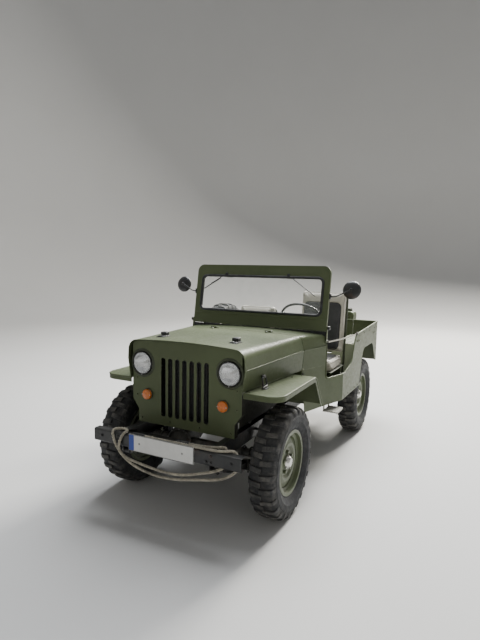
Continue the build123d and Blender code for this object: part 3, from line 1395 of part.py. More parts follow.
def nodes():
    """Every piece of the car by its name."""
    made = {
        "frame": frame(),
        "front_bumper": front_bumper(),
        "number_plate": number_plate(),
        "tow_rope": tow_rope(),
        "front_axle": front_axle(),
        "rear_axle": rear_axle(),
        "leaf_springs": springs(),
        "shock_absorbers": shock_absorbers(),
        "knuckle_left": knuckle(),
        "knuckle_right": mirrored(knuckle()),
        "tie_rod": tie_rod(),
        "engine_block": engine_block(),
        "gearbox": gearbox(),
        "propeller_shafts": propeller_shafts(),
        "exhaust": exhaust(),
        "fuel_tank": fuel_tank(),
        "radiator": radiator(),
        "grille": grille(),
        "headlamps": headlamps(),
        "signal_lamps": signal_lamps(),
        "hood": hood(),
        "fender_left": fender(),
        "fender_right": mirrored(fender()),
        "cowl": cowl(),
        "tub_floor": tub_floor(),
        "side_left": side(),
        "side_right": mirrored(side()),
        "rear_panel": rear_panel(),
        "tailgate": tailgate(),
        "jerry_can": jerry_can(),
        "windscreen_frame": windscreen_frame(),
        "windscreen_glass": windscreen_glass(),
        "wipers": wipers(),
        "mirrors": mirrors(),
        "steering_column": steering_column(),
        "steering_wheel": steering_wheel(),
        "seat_frames": seat_frames(),
        "driver_cushions": seat_cushions(*SEATS[0]),
        "passenger_cushions": seat_cushions(*SEATS[1]),
        "steps": steps(),
        "tow_hitch": tow_hitch(),
        "spare_carrier": spare_carrier(),
        "spare_rim": spare_place(spare_rim()),
        "spare_tyre": spare_place(tyre()),
    }
    for name, side_sign, y in WHEELS:
        place = Pos(HALF_TRACK, y, TYRE_RADIUS)
        for kind, piece in (("tyre", tyre()), ("rim", wheel_centre())):
            set_piece = place * piece
            made[f"{kind}_{name}"] = set_piece if side_sign > 0 else mirrored(set_piece)
    return made


os.makedirs("parts", exist_ok=True)
for node, piece in nodes().items():
    export_step(Pos(0, ORIGIN_TO_AXLE, 0) * piece, f"parts/{node}.step")
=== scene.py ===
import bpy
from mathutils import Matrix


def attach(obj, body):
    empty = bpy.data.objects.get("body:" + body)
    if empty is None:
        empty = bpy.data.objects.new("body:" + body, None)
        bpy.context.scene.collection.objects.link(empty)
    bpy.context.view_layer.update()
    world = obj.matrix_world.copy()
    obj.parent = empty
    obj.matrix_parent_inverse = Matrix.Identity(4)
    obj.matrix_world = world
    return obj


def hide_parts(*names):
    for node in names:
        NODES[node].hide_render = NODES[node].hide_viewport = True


bl_info = {
    "name": "Open 4x4 army car",
    "version": (1, 0, 0),
    "blender": (4, 5, 0),
    "location": "View3D > Sidebar > Army car",
    "description": "Finishes and fine pieces for the jointed army car",
    "category": "Object",
}

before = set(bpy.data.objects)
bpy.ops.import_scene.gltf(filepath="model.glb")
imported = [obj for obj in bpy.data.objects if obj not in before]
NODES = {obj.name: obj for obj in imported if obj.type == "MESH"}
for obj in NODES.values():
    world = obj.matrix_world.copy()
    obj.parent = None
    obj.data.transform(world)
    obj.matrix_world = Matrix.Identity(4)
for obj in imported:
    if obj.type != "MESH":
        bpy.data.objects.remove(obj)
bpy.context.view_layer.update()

import itertools
import math

import bmesh
import bpy
from mathutils import Matrix, Vector

UP, AFT, AHEAD, LEFT = (0, 0, 1), (0, 1, 0), (0, -1, 0), (1, 0, 0)


def mm(x, y, z):
    """A point in millimetres."""
    return Vector((x / 1000, y / 1000, z / 1000))


def at(x, y, z):
    """A point whose y is measured from the front axle, in millimetres."""
    return Vector((x / 1000, y / 1000 + AXLE_Y, z / 1000))


def set_at(x, y, z):
    """The matrix that moves a piece drawn at the origin to such a point."""
    return Matrix.Translation(at(x, y, z))


def rolled(degrees, axis="X"):
    """The matrix that turns a piece about an axis through the origin."""
    return Matrix.Rotation(math.radians(degrees), 4, axis)


# The front axle's place along the car, in metres. Y values in the tables below are measured from it.
AXLE_Y = -1.077
# Sizes in millimetres
WHEELBASE = 2032
HUB_Z = 380
HALF_TRACK = 613
WHEELS = (
    # name, body, side of the car, place along it, turn of the tyre at rest in degrees
    ("front_left", "wheel_front_left", 1, 0, 4),
    ("front_right", "wheel_front_right", -1, 0, 21),
    ("rear_left", "wheel_rear_left", 1, WHEELBASE, 39),
    ("rear_right", "wheel_rear_right", -1, WHEELBASE, 9),
)
# From a piece drawn at the origin to its place on the spare wheel, on the screen, or on the car's other side.
# The turn of the spare's tyre about its own axle is in degrees.
SPARE = set_at(-828, 1760, 905) @ rolled(180, "Z")
SPARE_TURN = 17.18873385
SCREEN = set_at(0, 850, 1206) @ rolled(-9.5)
MIRRORED = Matrix.Scale(-1, 4, LEFT)
# Distances in metres under which points are merged, or taken for one and the same
WELD = 0.00002
NEAR = 0.00005
# How far each bolt head is turned on from the one before, in radians
BOLT_TURN = 0.7
# A hexagon's width across its flats, over the radius of its corners
HEXAGON = 1.732


def length_choice(name, note, value):
    return bpy.props.FloatProperty(name=name, description=note, default=value, unit="LENGTH")


def colour_choice(name, note, *value):
    return bpy.props.FloatVectorProperty(name=name, description=note, subtype="COLOR", default=value)


class CarSizes(bpy.types.PropertyGroup):
    """Sizes that a user would change."""

    lug_count: bpy.props.IntProperty(
        name="Lugs a side", description="Tread lugs on each side of a tyre", default=26, min=12
    )
    lug_half_width: length_choice("Lug half width", "Half a lug's width round the tyre", 0.0155)
    rope_thickness: length_choice("Rope", "Thickness of the tow rope", 0.020)
    stitch_puff: length_choice("Cushion swell", "How far a point of a cushion may swell", 0.016)
    key_strength: bpy.props.FloatProperty(
        name="Key light", description="Power of the large lamp in watts", default=420.0
    )


class CarColours(bpy.types.PropertyGroup):
    """Colours that a user would change."""

    paint: colour_choice("Body paint", "Olive green of the body", 0.083, 0.101, 0.052)
    chassis: colour_choice("Chassis paint", "Black of bumper and frame", 0.013, 0.014, 0.015)
    dust: colour_choice("Dust", "Dry road dust", 0.27, 0.255, 0.225)
    rubber: colour_choice("Tyre rubber", "Tyre and seal rubber", 0.013, 0.014, 0.016)
    amber: colour_choice("Amber", "Front signal lenses", 0.80, 0.20, 0.012)
    cover: colour_choice("Seat covers", "Black seat covers", 0.020, 0.020, 0.021)
    edging: colour_choice("Seat edging", "Pale edging of the seats", 0.46, 0.43, 0.36)
    rope: colour_choice("Rope", "Weathered rope fibre", 0.36, 0.33, 0.26)


def sizes():
    return bpy.context.scene.car_sizes


def colours():
    return bpy.context.scene.car_colours


# Materials

MATERIALS = {}


class Graph:
    """A short way to wire a material's nodes."""

    def __init__(self, name):
        self.material = bpy.data.materials.new(name)
        self.material.use_nodes = True
        self.tree = self.material.node_tree
        self.shader = self.tree.nodes["Principled BSDF"]
        self.where = self.node("ShaderNodeTexCoord").outputs["Object"]
        MATERIALS[name] = self.material

    def node(self, kind, inputs=None, **values):
        """A new node with its settings. Inputs go by their sockets' names or numbers."""
        made = self.tree.nodes.new(kind)
        for key, value in values.items():
            setattr(made, key, value)
        for key, value in (inputs or {}).items():
            self.put(made.inputs[key], value)
        return made

    def put(self, socket, value):
        """Links an output to a socket, or sets the socket to a number or a colour."""
        if isinstance(value, bpy.types.NodeSocket):
            self.tree.links.new(value, socket)
        elif isinstance(value, (int, float)):
            socket.default_value = value
        else:
            filled = tuple(value)
            socket.default_value = filled + (1.0,) if len(socket.default_value) == 4 and len(filled) == 3 else filled

    def noise(self, scale, detail=3.0, roughness=0.55, stretch=None):
        where = self.where
        if stretch:
            where = self.node("ShaderNodeMapping", {"Vector": where, "Scale": stretch}).outputs["Vector"]
        inputs = {"Vector": where, "Scale": scale, "Detail": detail, "Roughness": roughness}
        return self.node("ShaderNodeTexNoise", inputs).outputs["Fac"]

    def mottle(self, grain, low, high, out_low=0.0, out_high=1.0):
        """Noise spread between two levels. The grain is the noise's scale, detail and roughness."""
        return self.range(self.noise(*grain), low, high, out_low, out_high)

    def cells(self, scale, feature="F1"):
        inputs = {"Vector": self.where, "Scale": scale}
        return self.node("ShaderNodeTexVoronoi", inputs, feature=feature).outputs["Distance"]

    def math(self, operation, a, b=0.0, clamp=False):
        return self.node("ShaderNodeMath", {0: a, 1: b}, operation=operation, use_clamp=clamp).outputs[0]

    def times(self, a, b, clamp=False):
        return self.math("MULTIPLY", a, b, clamp)

    def range(self, value, low, high, out_low=0.0, out_high=1.0):
        inputs = {"Value": value, "From Min": low, "From Max": high, "To Min": out_low, "To Max": out_high}
        return self.node("ShaderNodeMapRange", inputs, clamp=True, interpolation_type="SMOOTHSTEP").outputs["Result"]

    def blend(self, share, a, b):
        return self.node("ShaderNodeMix", {0: share, 6: a, 7: b}, data_type="RGBA", blend_type="MIX").outputs[2]

    def bump(self, height, strength, distance, under=None):
        inputs = {"Strength": strength, "Distance": distance, "Height": height}
        if under is not None:
            inputs["Normal"] = under
        return self.node("ShaderNodeBump", inputs).outputs["Normal"]

    def part(self, vector, name):
        return self.node("ShaderNodeSeparateXYZ", {0: vector}).outputs[name]

    def axis(self, name):
        return self.part(self.where, name)

    def normal(self):
        return self.node("ShaderNodeNewGeometry").outputs["Normal"]

    def facing(self, name):
        return self.part(self.normal(), name)

    def edges(self, radius):
        """1 on convex and concave edges, 0 on flats."""
        soft = self.node("ShaderNodeBevel", {"Radius": radius}, samples=4).outputs["Normal"]
        product = self.node("ShaderNodeVectorMath", {0: soft, 1: self.normal()}, operation="DOT_PRODUCT")
        return self.range(product.outputs["Value"], 0.995, 0.80)

    def attribute(self, name):
        return self.node("ShaderNodeAttribute", attribute_name=name).outputs["Fac"]

    def set(self, **values):
        """Sets the shader's own sockets, their names written with underscores."""
        for key, value in values.items():
            self.put(self.shader.inputs[key.replace("_", " ")], value)


def shade(colour, factor):
    """A lighter or darker colour."""
    return tuple(min(1.0, part * factor) for part in colour)


def weathered(name, colour, rough, metal=0.0, dust=0.35, mud=0.5, wear=0.25, wear_colour=None, fade=0.12, grain=240.0,
              grain_depth=0.12, rust=0.0, gloss=0.5, wing_shade=0.0):
    """Painted or bare metal with fading, mottling, dust on what faces up, road mud low down, worn edges and, where
    asked, painted shade under the front wings.
    """
    graph = Graph(name)
    broad = graph.noise(1.7, 3.0)
    fine = graph.noise(19.0, 4.0)
    base = graph.blend(graph.range(broad, 0.35, 0.68), shade(colour, 1 - fade), shade(colour, 1 + fade))
    base = graph.blend(graph.range(fine, 0.30, 0.75, 0.0, 0.35), base, shade(colour, 1 + 1.6 * fade))
    if rust:
        spots = graph.times(graph.mottle((9.0, 6.0, 0.7), 0.55, 0.68), rust, True)
        base = graph.blend(spots, base, (0.16, 0.062, 0.026))
    streaks = graph.noise(16.0, 4.0, 0.6, stretch=(1.0, 1.0, 0.09))
    base = graph.blend(graph.range(streaks, 0.58, 0.80, 0.0, 0.22 * dust), base, shade(colours().dust, 0.7))
    worn = graph.times(graph.edges(0.0045), graph.mottle((34.0, 3.0), 0.40, 0.62))
    worn = graph.times(worn, wear, True)
    base = graph.blend(worn, base, wear_colour or shade(colour, 2.1))
    up = graph.range(graph.facing("Z"), 0.25, 0.95)
    settled = graph.times(up, graph.mottle((5.5, 5.0, 0.65), 0.34, 0.74, 0.1, 1.0))
    settled = graph.times(settled, dust, True)
    low = graph.range(graph.axis("Z"), 0.30, 0.82, 1.0, 0.0)
    splashed = graph.times(low, graph.mottle((12.0, 6.0, 0.7), 0.40, 0.66))
    splashed = graph.times(splashed, mud, True)
    dirt_and_wing_shade = graph.math("MAXIMUM", settled, splashed)
    base = graph.blend(settled, base, colours().dust)
    base = graph.blend(splashed, base, shade(colours().dust, 0.55))
    # Painted shade: faces inside the front wings, below their top and not facing along the car, go to a near-black
    # copy of the dust colour and are made rougher with it.
    if wing_shade:
        inward = graph.math("ABSOLUTE", graph.axis("X"))
        under = graph.times(graph.range(inward, 0.60, 0.57), graph.range(graph.axis("Z"), 0.888, 0.872))
        under = graph.times(under, graph.range(graph.axis("Y"), -0.50, -0.53))
        under = graph.times(under, graph.range(graph.math("ABSOLUTE", graph.facing("Y")), 0.6, 0.4))
        dirt_and_wing_shade = graph.math("MAXIMUM", dirt_and_wing_shade, graph.times(under, wing_shade), True)
        base = graph.blend(graph.times(under, wing_shade), base, shade(colours().dust, 0.07))
    graph.set(Base_Color=base, Metallic=metal, Specular_IOR_Level=gloss)
    spread = graph.mottle((45.0, 3.0), 0.3, 0.7, rough - 0.06, rough + 0.09)
    graph.set(Roughness=graph.math("ADD", spread, graph.times(dirt_and_wing_shade, 0.35), True))
    dents = graph.bump(graph.noise(2.6, 1.0), 0.10, 0.02)
    graph.set(Normal=graph.bump(graph.noise(grain, 2.0), grain_depth, 0.0012, dents))
    return graph.material


def make_materials(tint):
    """Every finish on the car."""
    olive = tint.paint
    # The body paint carries the painted shade under the front wings, at 0.94 of full.
    weathered("olive_paint", olive, 0.42, dust=0.10, mud=0.26, wear=0.45, wear_colour=(0.30, 0.32, 0.22), fade=0.10,
              gloss=0.18, wing_shade=0.94)
    weathered("olive_inside", shade(olive, 0.85), 0.55, dust=0.62, mud=0.1, wear=0.5, wear_colour=(0.30, 0.30, 0.25))
    weathered("olive_dark", shade(olive, 0.45), 0.50, dust=0.35, mud=0.5, wear=0.3)
    weathered("chassis_black", tint.chassis, 0.38, dust=0.08, mud=0.16, wear=0.35, wear_colour=(0.10, 0.10, 0.10),
              fade=0.25, rust=0.18)
    weathered("axle_iron", (0.032, 0.034, 0.030), 0.58, dust=0.55, mud=0.85, wear=0.3, wear_colour=(0.14, 0.13, 0.12),
              grain=90.0, grain_depth=0.45, rust=0.35)
    weathered("greased_steel", (0.20, 0.195, 0.185), 0.40, metal=0.85, dust=0.4, mud=0.6, wear=0.2, rust=0.45)
    weathered("exhaust_steel", (0.17, 0.15, 0.13), 0.52, metal=0.7, dust=0.35, mud=0.6, wear=0.15, rust=0.8)
    weathered("bright_metal", (0.62, 0.61, 0.58), 0.24, metal=1.0, dust=0.18, mud=0.12, wear=0.1, grain_depth=0.05)
    weathered("zinc_bolt", (0.34, 0.34, 0.33), 0.38, metal=0.9, dust=0.2, mud=0.3, wear=0.2, rust=0.25)
    weathered("pale_step", (0.46, 0.45, 0.40), 0.50, dust=0.45, mud=0.5, wear=0.5, wear_colour=(0.25, 0.25, 0.22))
    weathered("wheel_olive", shade(olive, 1.1), 0.38, dust=0.25, mud=0.40, wear=0.5, wear_colour=(0.42, 0.42, 0.36))
    weathered("black_gloss", (0.012, 0.012, 0.013), 0.22, dust=0.30, mud=0.1, wear=0.2,
              wear_colour=(0.08, 0.08, 0.08))
    weathered("plate_white", (0.66, 0.66, 0.64), 0.33, dust=0.16, mud=0.16, wear=0.3,
              wear_colour=(0.3, 0.3, 0.3), fade=0.04)
    weathered("plate_blue", (0.010, 0.045, 0.30), 0.33, dust=0.16, mud=0.16, wear=0.2, fade=0.05)
    rubber_materials(tint)
    glass_materials(tint)
    cloth_materials(tint)


def rubber_materials(tint):
    """Tyre rubber that greys with dust by its distance from the hub, and black seal rubber."""
    graph = Graph("tyre_rubber")
    reach = graph.attribute("reach")
    base = graph.blend(graph.mottle((7.0, 4.0), 0.35, 0.7), tint.rubber, shade(tint.rubber, 1.8))
    scuffed = graph.times(graph.range(reach, 0.366, 0.379), graph.mottle((15.0, 5.0, 0.7), 0.36, 0.66, 0.08, 0.55))
    base = graph.blend(scuffed, base, shade(tint.dust, 0.62))
    groove = graph.range(reach, 0.371, 0.362)
    wall = graph.times(groove, graph.range(reach, 0.30, 0.355))
    caked = graph.times(wall, graph.mottle((21.0, 5.0, 0.7), 0.40, 0.66, 0.03, 0.5))
    base = graph.blend(caked, base, shade(tint.dust, 0.5))
    film = graph.mottle((5.0, 6.0, 0.7), 0.45, 0.80, 0.02, 0.22)
    base = graph.blend(film, base, shade(tint.dust, 0.42))
    graph.set(Base_Color=base, Roughness=graph.mottle((33.0, 3.0), 0.3, 0.7, 0.62, 0.86), Specular_IOR_Level=0.35)
    ribs = graph.math("SINE", graph.times(reach, 1250.0))
    on_wall = graph.times(graph.range(reach, 0.235, 0.245), graph.range(reach, 0.345, 0.335))
    height = graph.times(ribs, graph.times(on_wall, 0.12))
    height = graph.math("ADD", height, graph.noise(160.0, 3.0))
    graph.set(Normal=graph.bump(height, 0.35, 0.002))

    graph = Graph("seal_rubber")
    base = graph.blend(graph.mottle((24.0, 4.0), 0.4, 0.7), shade(tint.rubber, 0.8), shade(tint.rubber, 2.2))
    up = graph.times(graph.range(graph.facing("Z"), 0.3, 0.95), graph.mottle((18.0, 4.0), 0.4, 0.7, 0.0, 0.35))
    base = graph.blend(up, base, shade(tint.dust, 0.6))
    graph.set(Base_Color=base, Roughness=graph.mottle((60.0,), 0.3, 0.7, 0.45, 0.62))
    graph.set(Normal=graph.bump(graph.noise(320.0, 2.0), 0.2, 0.0008))


def glass_materials(tint):
    """Pane, lamp lenses, reflector, mirror."""
    graph = Graph("pane_glass")
    smear = graph.mottle((3.5, 6.0, 0.7), 0.45, 0.8, 0.0, 0.16)
    graph.set(Base_Color=graph.blend(smear, (0.78, 0.84, 0.82), (0.86, 0.86, 0.83)))
    graph.set(Roughness=graph.mottle((8.0, 5.0), 0.4, 0.8, 0.02, 0.14),
              Alpha=graph.mottle((3.5, 6.0, 0.7), 0.45, 0.8, 0.07, 0.16))
    graph.set(Specular_IOR_Level=0.8)
    graph.set(Normal=graph.bump(graph.noise(2.0, 1.0), 0.05, 0.004))

    graph = Graph("lamp_glass")
    flutes = graph.node("ShaderNodeTexWave", {"Vector": graph.where, "Scale": 26.0, "Distortion": 0.0},
                        wave_type="BANDS", bands_direction="X", wave_profile="SIN")
    film = graph.mottle((30.0, 4.0), 0.4, 0.8, 0.0, 0.25)
    graph.set(Base_Color=graph.blend(film, (0.93, 0.95, 0.95), (0.72, 0.71, 0.68)), Alpha=0.20)
    graph.set(Roughness=graph.mottle((22.0, 4.0), 0.4, 0.8, 0.03, 0.16), Specular_IOR_Level=0.9)
    graph.set(Normal=graph.bump(flutes.outputs["Fac"], 0.9, 0.005))

    graph = Graph("reflector")
    graph.set(Base_Color=graph.blend(graph.mottle((26.0, 4.0), 0.4, 0.8), (0.86, 0.87, 0.88), (0.62, 0.63, 0.64)))
    graph.set(Metallic=1.0, Roughness=graph.mottle((20.0,), 0.3, 0.7, 0.10, 0.2))
    graph.set(Normal=graph.bump(graph.cells(130.0), 0.25, 0.002))

    graph = Graph("mirror_glass")
    graph.set(Base_Color=graph.blend(graph.mottle((14.0, 4.0), 0.5, 0.8, 0.0, 0.4), (0.88, 0.89, 0.90),
                                     (0.6, 0.6, 0.58)))
    graph.set(Metallic=1.0, Roughness=graph.mottle((9.0, 4.0), 0.4, 0.8, 0.02, 0.12))

    for name, colour in (("amber_lens", tint.amber), ("red_lens", (0.50, 0.010, 0.008))):
        graph = Graph(name)
        squares = graph.node("ShaderNodeTexVoronoi", {"Vector": graph.where, "Scale": 210.0, "Randomness": 0.0},
                             feature="F1", distance="CHEBYCHEV").outputs["Distance"]
        rim = graph.range(squares, 0.30, 0.52)
        base = graph.blend(rim, colour, shade(colour, 0.55))
        film = graph.mottle((24.0, 4.0), 0.45, 0.8, 0.0, 0.25)
        graph.set(Base_Color=graph.blend(film, base, shade(tint.dust, 0.8)),
                  Roughness=graph.mottle((40.0,), 0.3, 0.7, 0.12, 0.26))
        graph.set(Transmission_Weight=0.15, Subsurface_Weight=0.12, Coat_Weight=0.4, Coat_Roughness=0.08)
        graph.set(Normal=graph.bump(squares, 0.35, 0.002))


def cloth_materials(tint):
    """Grained seat covers, their pale edging and the rope."""
    mixes = (("black_cover", tint.cover, tint.cover), ("pale_edging", tint.edging, tint.edging),
             ("seat_cover", tint.edging, tint.cover))
    for name, outer, inner in mixes:
        graph = Graph(name)
        grain = graph.cells(420.0, "SMOOTH_F1")
        panel = graph.attribute("panel")
        mottle = graph.mottle((6.0, 5.0, 0.6), 0.35, 0.72)
        pale = graph.blend(mottle, outer, shade(outer, 1.25))
        dark = graph.blend(mottle, inner, shade(inner, 2.2))
        base = graph.blend(panel, pale, dark)
        base = graph.blend(graph.range(grain, 0.15, 0.55, 0.0, 0.25), base, (0.03, 0.03, 0.03))
        up = graph.times(graph.range(graph.facing("Z"), 0.3, 0.95), graph.mottle((11.0, 5.0), 0.4, 0.7, 0.0, 0.3))
        base = graph.blend(up, base, shade(tint.dust, 0.7))
        graph.set(Base_Color=base, Roughness=graph.mottle((28.0, 3.0), 0.3, 0.7, 0.42, 0.62), Sheen_Weight=0.12)
        folds = graph.bump(graph.noise(17.0, 3.0, 0.5, stretch=(1.0, 1.0, 0.4)), 0.25, 0.006)
        graph.set(Normal=graph.bump(grain, 0.35, 0.0011, folds))

    graph = Graph("rope_fibre")
    base = graph.blend(graph.mottle((40.0, 5.0, 0.7), 0.3, 0.7), shade(tint.rope, 0.55), shade(tint.rope, 1.35))
    base = graph.blend(graph.mottle((6.0, 4.0), 0.45, 0.7, 0.0, 0.55), base, shade(tint.rope, 0.38))
    graph.set(Base_Color=base, Roughness=graph.mottle((50.0,), 0.3, 0.7, 0.75, 0.95), Sheen_Weight=0.3)
    twist = graph.times(graph.math("SINE", graph.times(graph.attribute("lay"), 40.0)), 0.5)
    graph.set(Normal=graph.bump(graph.math("ADD", twist, graph.noise(500.0, 3.0)), 0.5, 0.001))


# Modelling steps


def only(piece):
    """Leaves one object selected and active, in object mode."""
    if bpy.context.object and bpy.context.object.mode != "OBJECT":
        bpy.ops.object.mode_set(mode="OBJECT")
    bpy.ops.object.select_all(action="DESELECT")
    if piece:
        piece.select_set(True)
        bpy.context.view_layer.objects.active = piece


def cube(name, middle, size):
    return start(name, "cube", size=1.0, location=middle, scale=size)


def edit_all():
    """Edit mode with everything selected."""
    bpy.ops.object.mode_set(mode="EDIT")
    bpy.ops.mesh.select_all(action="SELECT")


def leave_edit():
    bpy.ops.object.mode_set(mode="OBJECT")


def apply_place():
    bpy.ops.object.transform_apply(location=True, rotation=True, scale=True)


def weld_outward():
    """Merges what lies on one point and turns the faces outwards."""
    bpy.ops.mesh.remove_doubles(threshold=WELD)
    bpy.ops.mesh.normals_make_consistent(inside=False)


def bevel_by(offset, segments, affect="EDGES"):
    bpy.ops.mesh.bevel(offset=offset, segments=segments, affect=affect)


def shift(x, y, z):
    bpy.ops.transform.translate(value=(x, y, z))


def extrude(step):
    bpy.ops.mesh.extrude_region_move(TRANSFORM_OT_translate={"value": step})


def start(name, primitive, **place):
    """Adds one primitive with nothing else selected."""
    only(None)
    scale = place.pop("scale", (1, 1, 1))
    getattr(bpy.ops.mesh, f"primitive_{primitive}_add")(**place)
    piece = bpy.context.object
    piece.name = name
    piece.scale = scale
    return piece


def pick(piece, kind, test):
    """In edit mode, selects the faces, edges or points that pass a test on place and direction."""
    only(piece)
    bpy.ops.object.mode_set(mode="EDIT")
    bpy.ops.mesh.select_mode(type=kind)
    bpy.ops.mesh.select_all(action="DESELECT")
    shape = bmesh.from_edit_mesh(piece.data)
    if kind == "FACE":
        for face in shape.faces:
            face.select_set(bool(test(face.calc_center_median(), face.normal)))
    elif kind == "EDGE":
        for edge in shape.edges:
            first, last = edge.verts[0].co, edge.verts[1].co
            edge.select_set(bool(test((first + last) / 2, (last - first).normalized())))
    else:
        for vert in shape.verts:
            vert.select_set(bool(test(vert.co, vert.normal)))
    shape.select_flush_mode()
    bmesh.update_edit_mesh(piece.data)


def settle(piece, angle=35.0):
    """Back to object mode, place moved into the mesh, smooth where it is not sharp."""
    only(piece)
    apply_place()
    bpy.ops.object.shade_smooth_by_angle(angle=math.radians(angle))
    return piece


def modify(piece, kind, **values):
    """Adds a modifier and applies it."""
    only(piece)
    made = piece.modifiers.new(kind.title(), kind)
    for key, value in values.items():
        setattr(made, key, value)
    bpy.ops.object.modifier_apply(modifier=made.name)


def chain(name, points):
    """A run of edges drawn point by point."""
    piece = start(name, "plane", size=0.01)
    bpy.ops.object.mode_set(mode="EDIT")
    bpy.ops.mesh.select_mode(type="VERT")
    bpy.ops.mesh.select_all(action="SELECT")
    bpy.ops.mesh.merge(type="CENTER")
    shift(*points[0])
    for before, after in zip(points, points[1:]):
        extrude(Vector(after) - Vector(before))
    leave_edit()
    return piece


def turned(name, profile, centre, axis=LEFT, steps=48):
    """A profile of (along, out) points in millimetres, spun about an axis through centre."""
    along = Vector(axis)
    out = Vector(UP) if abs(along.z) < 0.9 else Vector(LEFT)
    out = (out - along * out.dot(along)).normalized()
    centre = Vector(centre)
    piece = chain(name, [centre + along * (a / 1000) + out * (r / 1000) for a, r in profile])
    edit_all()
    bpy.ops.mesh.spin(steps=steps, angle=2 * math.pi, center=centre, axis=along)
    bpy.ops.mesh.select_all(action="SELECT")
    bpy.ops.mesh.remove_doubles(threshold=WELD)
    bpy.ops.mesh.delete_loose()
    bpy.ops.mesh.select_all(action="SELECT")
    bpy.ops.mesh.normals_make_consistent(inside=False)
    return settle(piece)


def skinned(piece, radius, sides=3):
    """Turns a run or loop of edges into a round bar."""
    only(piece)
    bpy.ops.object.convert(target="CURVE")
    piece.data.bevel_depth = radius
    piece.data.bevel_resolution = sides
    piece.data.use_fill_caps = True
    bpy.ops.object.convert(target="MESH")
    edit_all()
    weld_outward()
    return settle(piece, 50.0)


def bar(name, points, radius, bends=0.0, sides=3):
    """A round bar through points, each corner eased over its bend."""
    piece = chain(name, points)
    inner = [Vector(point) for point in points[1:-1]]
    if not isinstance(bends, (tuple, list)):
        bends = [bends] * len(inner)
    for corner, bend in zip(inner, bends):
        if bend:
            pick(piece, "VERT", lambda co, normal: (co - corner).length < NEAR)
            bevel_by(bend, 5, "VERTICES")
    return skinned(piece, radius, sides)


def hoop(name, width, height, corner, place):
    """A loop of edges round a rounded oblong in x and z, set at a matrix."""
    loop = start(name, "plane", size=1.0, rotation=(math.pi / 2, 0, 0), scale=(width, height, 1))
    only(loop)
    apply_place()
    edit_all()
    bevel_by(corner, 8, "VERTICES")
    bpy.ops.mesh.delete(type="ONLY_FACE")
    leave_edit()
    loop.data.transform(place)
    return loop


def bead(name, size, corner, centre, radius):
    """A round bead along a rounded oblong in x and z, its sizes and its middle in millimetres."""
    width, height = (part / 1000 for part in size)
    return skinned(hoop(name, width, height, corner / 1000, set_at(*centre)), radius / 1000, 2)


def slab(name, low, high, bevel=0.002, segments=2):
    """A block between two corners with its edges broken."""
    low, high = Vector(low), Vector(high)
    piece = cube(name, (low + high) / 2, high - low)
    only(piece)
    apply_place()
    if bevel:
        edit_all()
        bevel_by(bevel, segments)
    return settle(piece)


def copied(piece, place, name):
    """A copy with its own mesh, moved by a matrix."""
    twin = piece.copy()
    twin.data = piece.data.copy()
    twin.name = name
    bpy.context.scene.collection.objects.link(twin)
    twin.data.transform(place)
    if place.determinant() < 0:
        twin.data.flip_normals()
    return twin


def joined(name, pieces):
    """Several objects as one."""
    only(pieces[0])
    for piece in pieces:
        piece.select_set(True)
    if len(pieces) > 1:
        bpy.ops.object.join()
    pieces[0].name = name
    return pieces[0]


def copies(piece, places, name):
    """One joined object of a piece at several places. The pattern piece itself goes."""
    made = [copied(piece, place, f"{name}_{index}") for index, place in enumerate(places)]
    bpy.data.objects.remove(piece)
    return joined(name, made)


def inverted(table):
    """From a table of lists to the key of each thing that is listed."""
    return {thing: key for key, things in table.items() for thing in things}


def paint(piece, material):
    """Gives a piece one material and no other."""
    piece.data.materials.clear()
    piece.data.materials.append(MATERIALS[material])


def dress(piece, material, body="chassis", stands_for=()):
    """Gives a finished piece its material, its body and the nodes that it stands for."""
    paint(piece, material)
    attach(piece, body)
    if stands_for:
        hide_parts(*stands_for)
    return piece


def fit(name, pieces, material, body="chassis", stands_for=(), both=False):
    """Joins pieces, mirrors them where both sides have them, and dresses the result."""
    piece = joined(name, pieces)
    return dress(both_sides(piece) if both else piece, material, body, stands_for)


def both_sides(piece):
    """A piece with its mirror image on the car's other side."""
    return joined(piece.name, [piece, copied(piece, MIRRORED, piece.name + "_right")])


def on_screen(x, y, z):
    """A point of the upright windscreen, its pivot the origin, in millimetres, set on the car."""
    return SCREEN @ mm(x, y, z)


def line(name, points, radius, bends=0.0, sides=3, place=at):
    """A round bar through points in millimetres, each corner eased over its bend."""
    eased = [bend / 1000 for bend in bends] if isinstance(bends, (tuple, list)) else bends / 1000
    return bar(name, [place(*point) for point in points], radius / 1000, eased, sides)


def span(middle, half):
    """The two ends of a length about its middle."""
    return middle - half, middle + half


def block(name, x, y, z, bevel=2.0, segments=2):
    """A block between spans in millimetres from the front axle, its edges broken."""
    return slab(name, at(x[0], y[0], z[0]), at(x[1], y[1], z[1]), bevel / 1000, segments)


def lathe(name, profile, centre, way, steps=48):
    """A turned piece about a centre in millimetres from the front axle."""
    return turned(name, profile, at(*centre), way, steps)


def grid(way, x, y, z):
    """Places in rows, all facing one way. A single number stands for a row of one."""
    rows = [row if isinstance(row, tuple) else (row,) for row in (x, y, z)]
    return [(point, way) for point in itertools.product(*rows)]


def bolted(name, across, height, places, material, body="chassis", both=False, washer=True):
    """Dressed bolt heads at points in millimetres, each facing its way."""
    head = hex_bolt(name, across / 1000, height / 1000, washer)
    places = [aimed(at(*point), way, BOLT_TURN * index) for index, (point, way) in enumerate(places)]
    return fit(name, [copies(head, places, name)], material, body, both=both)


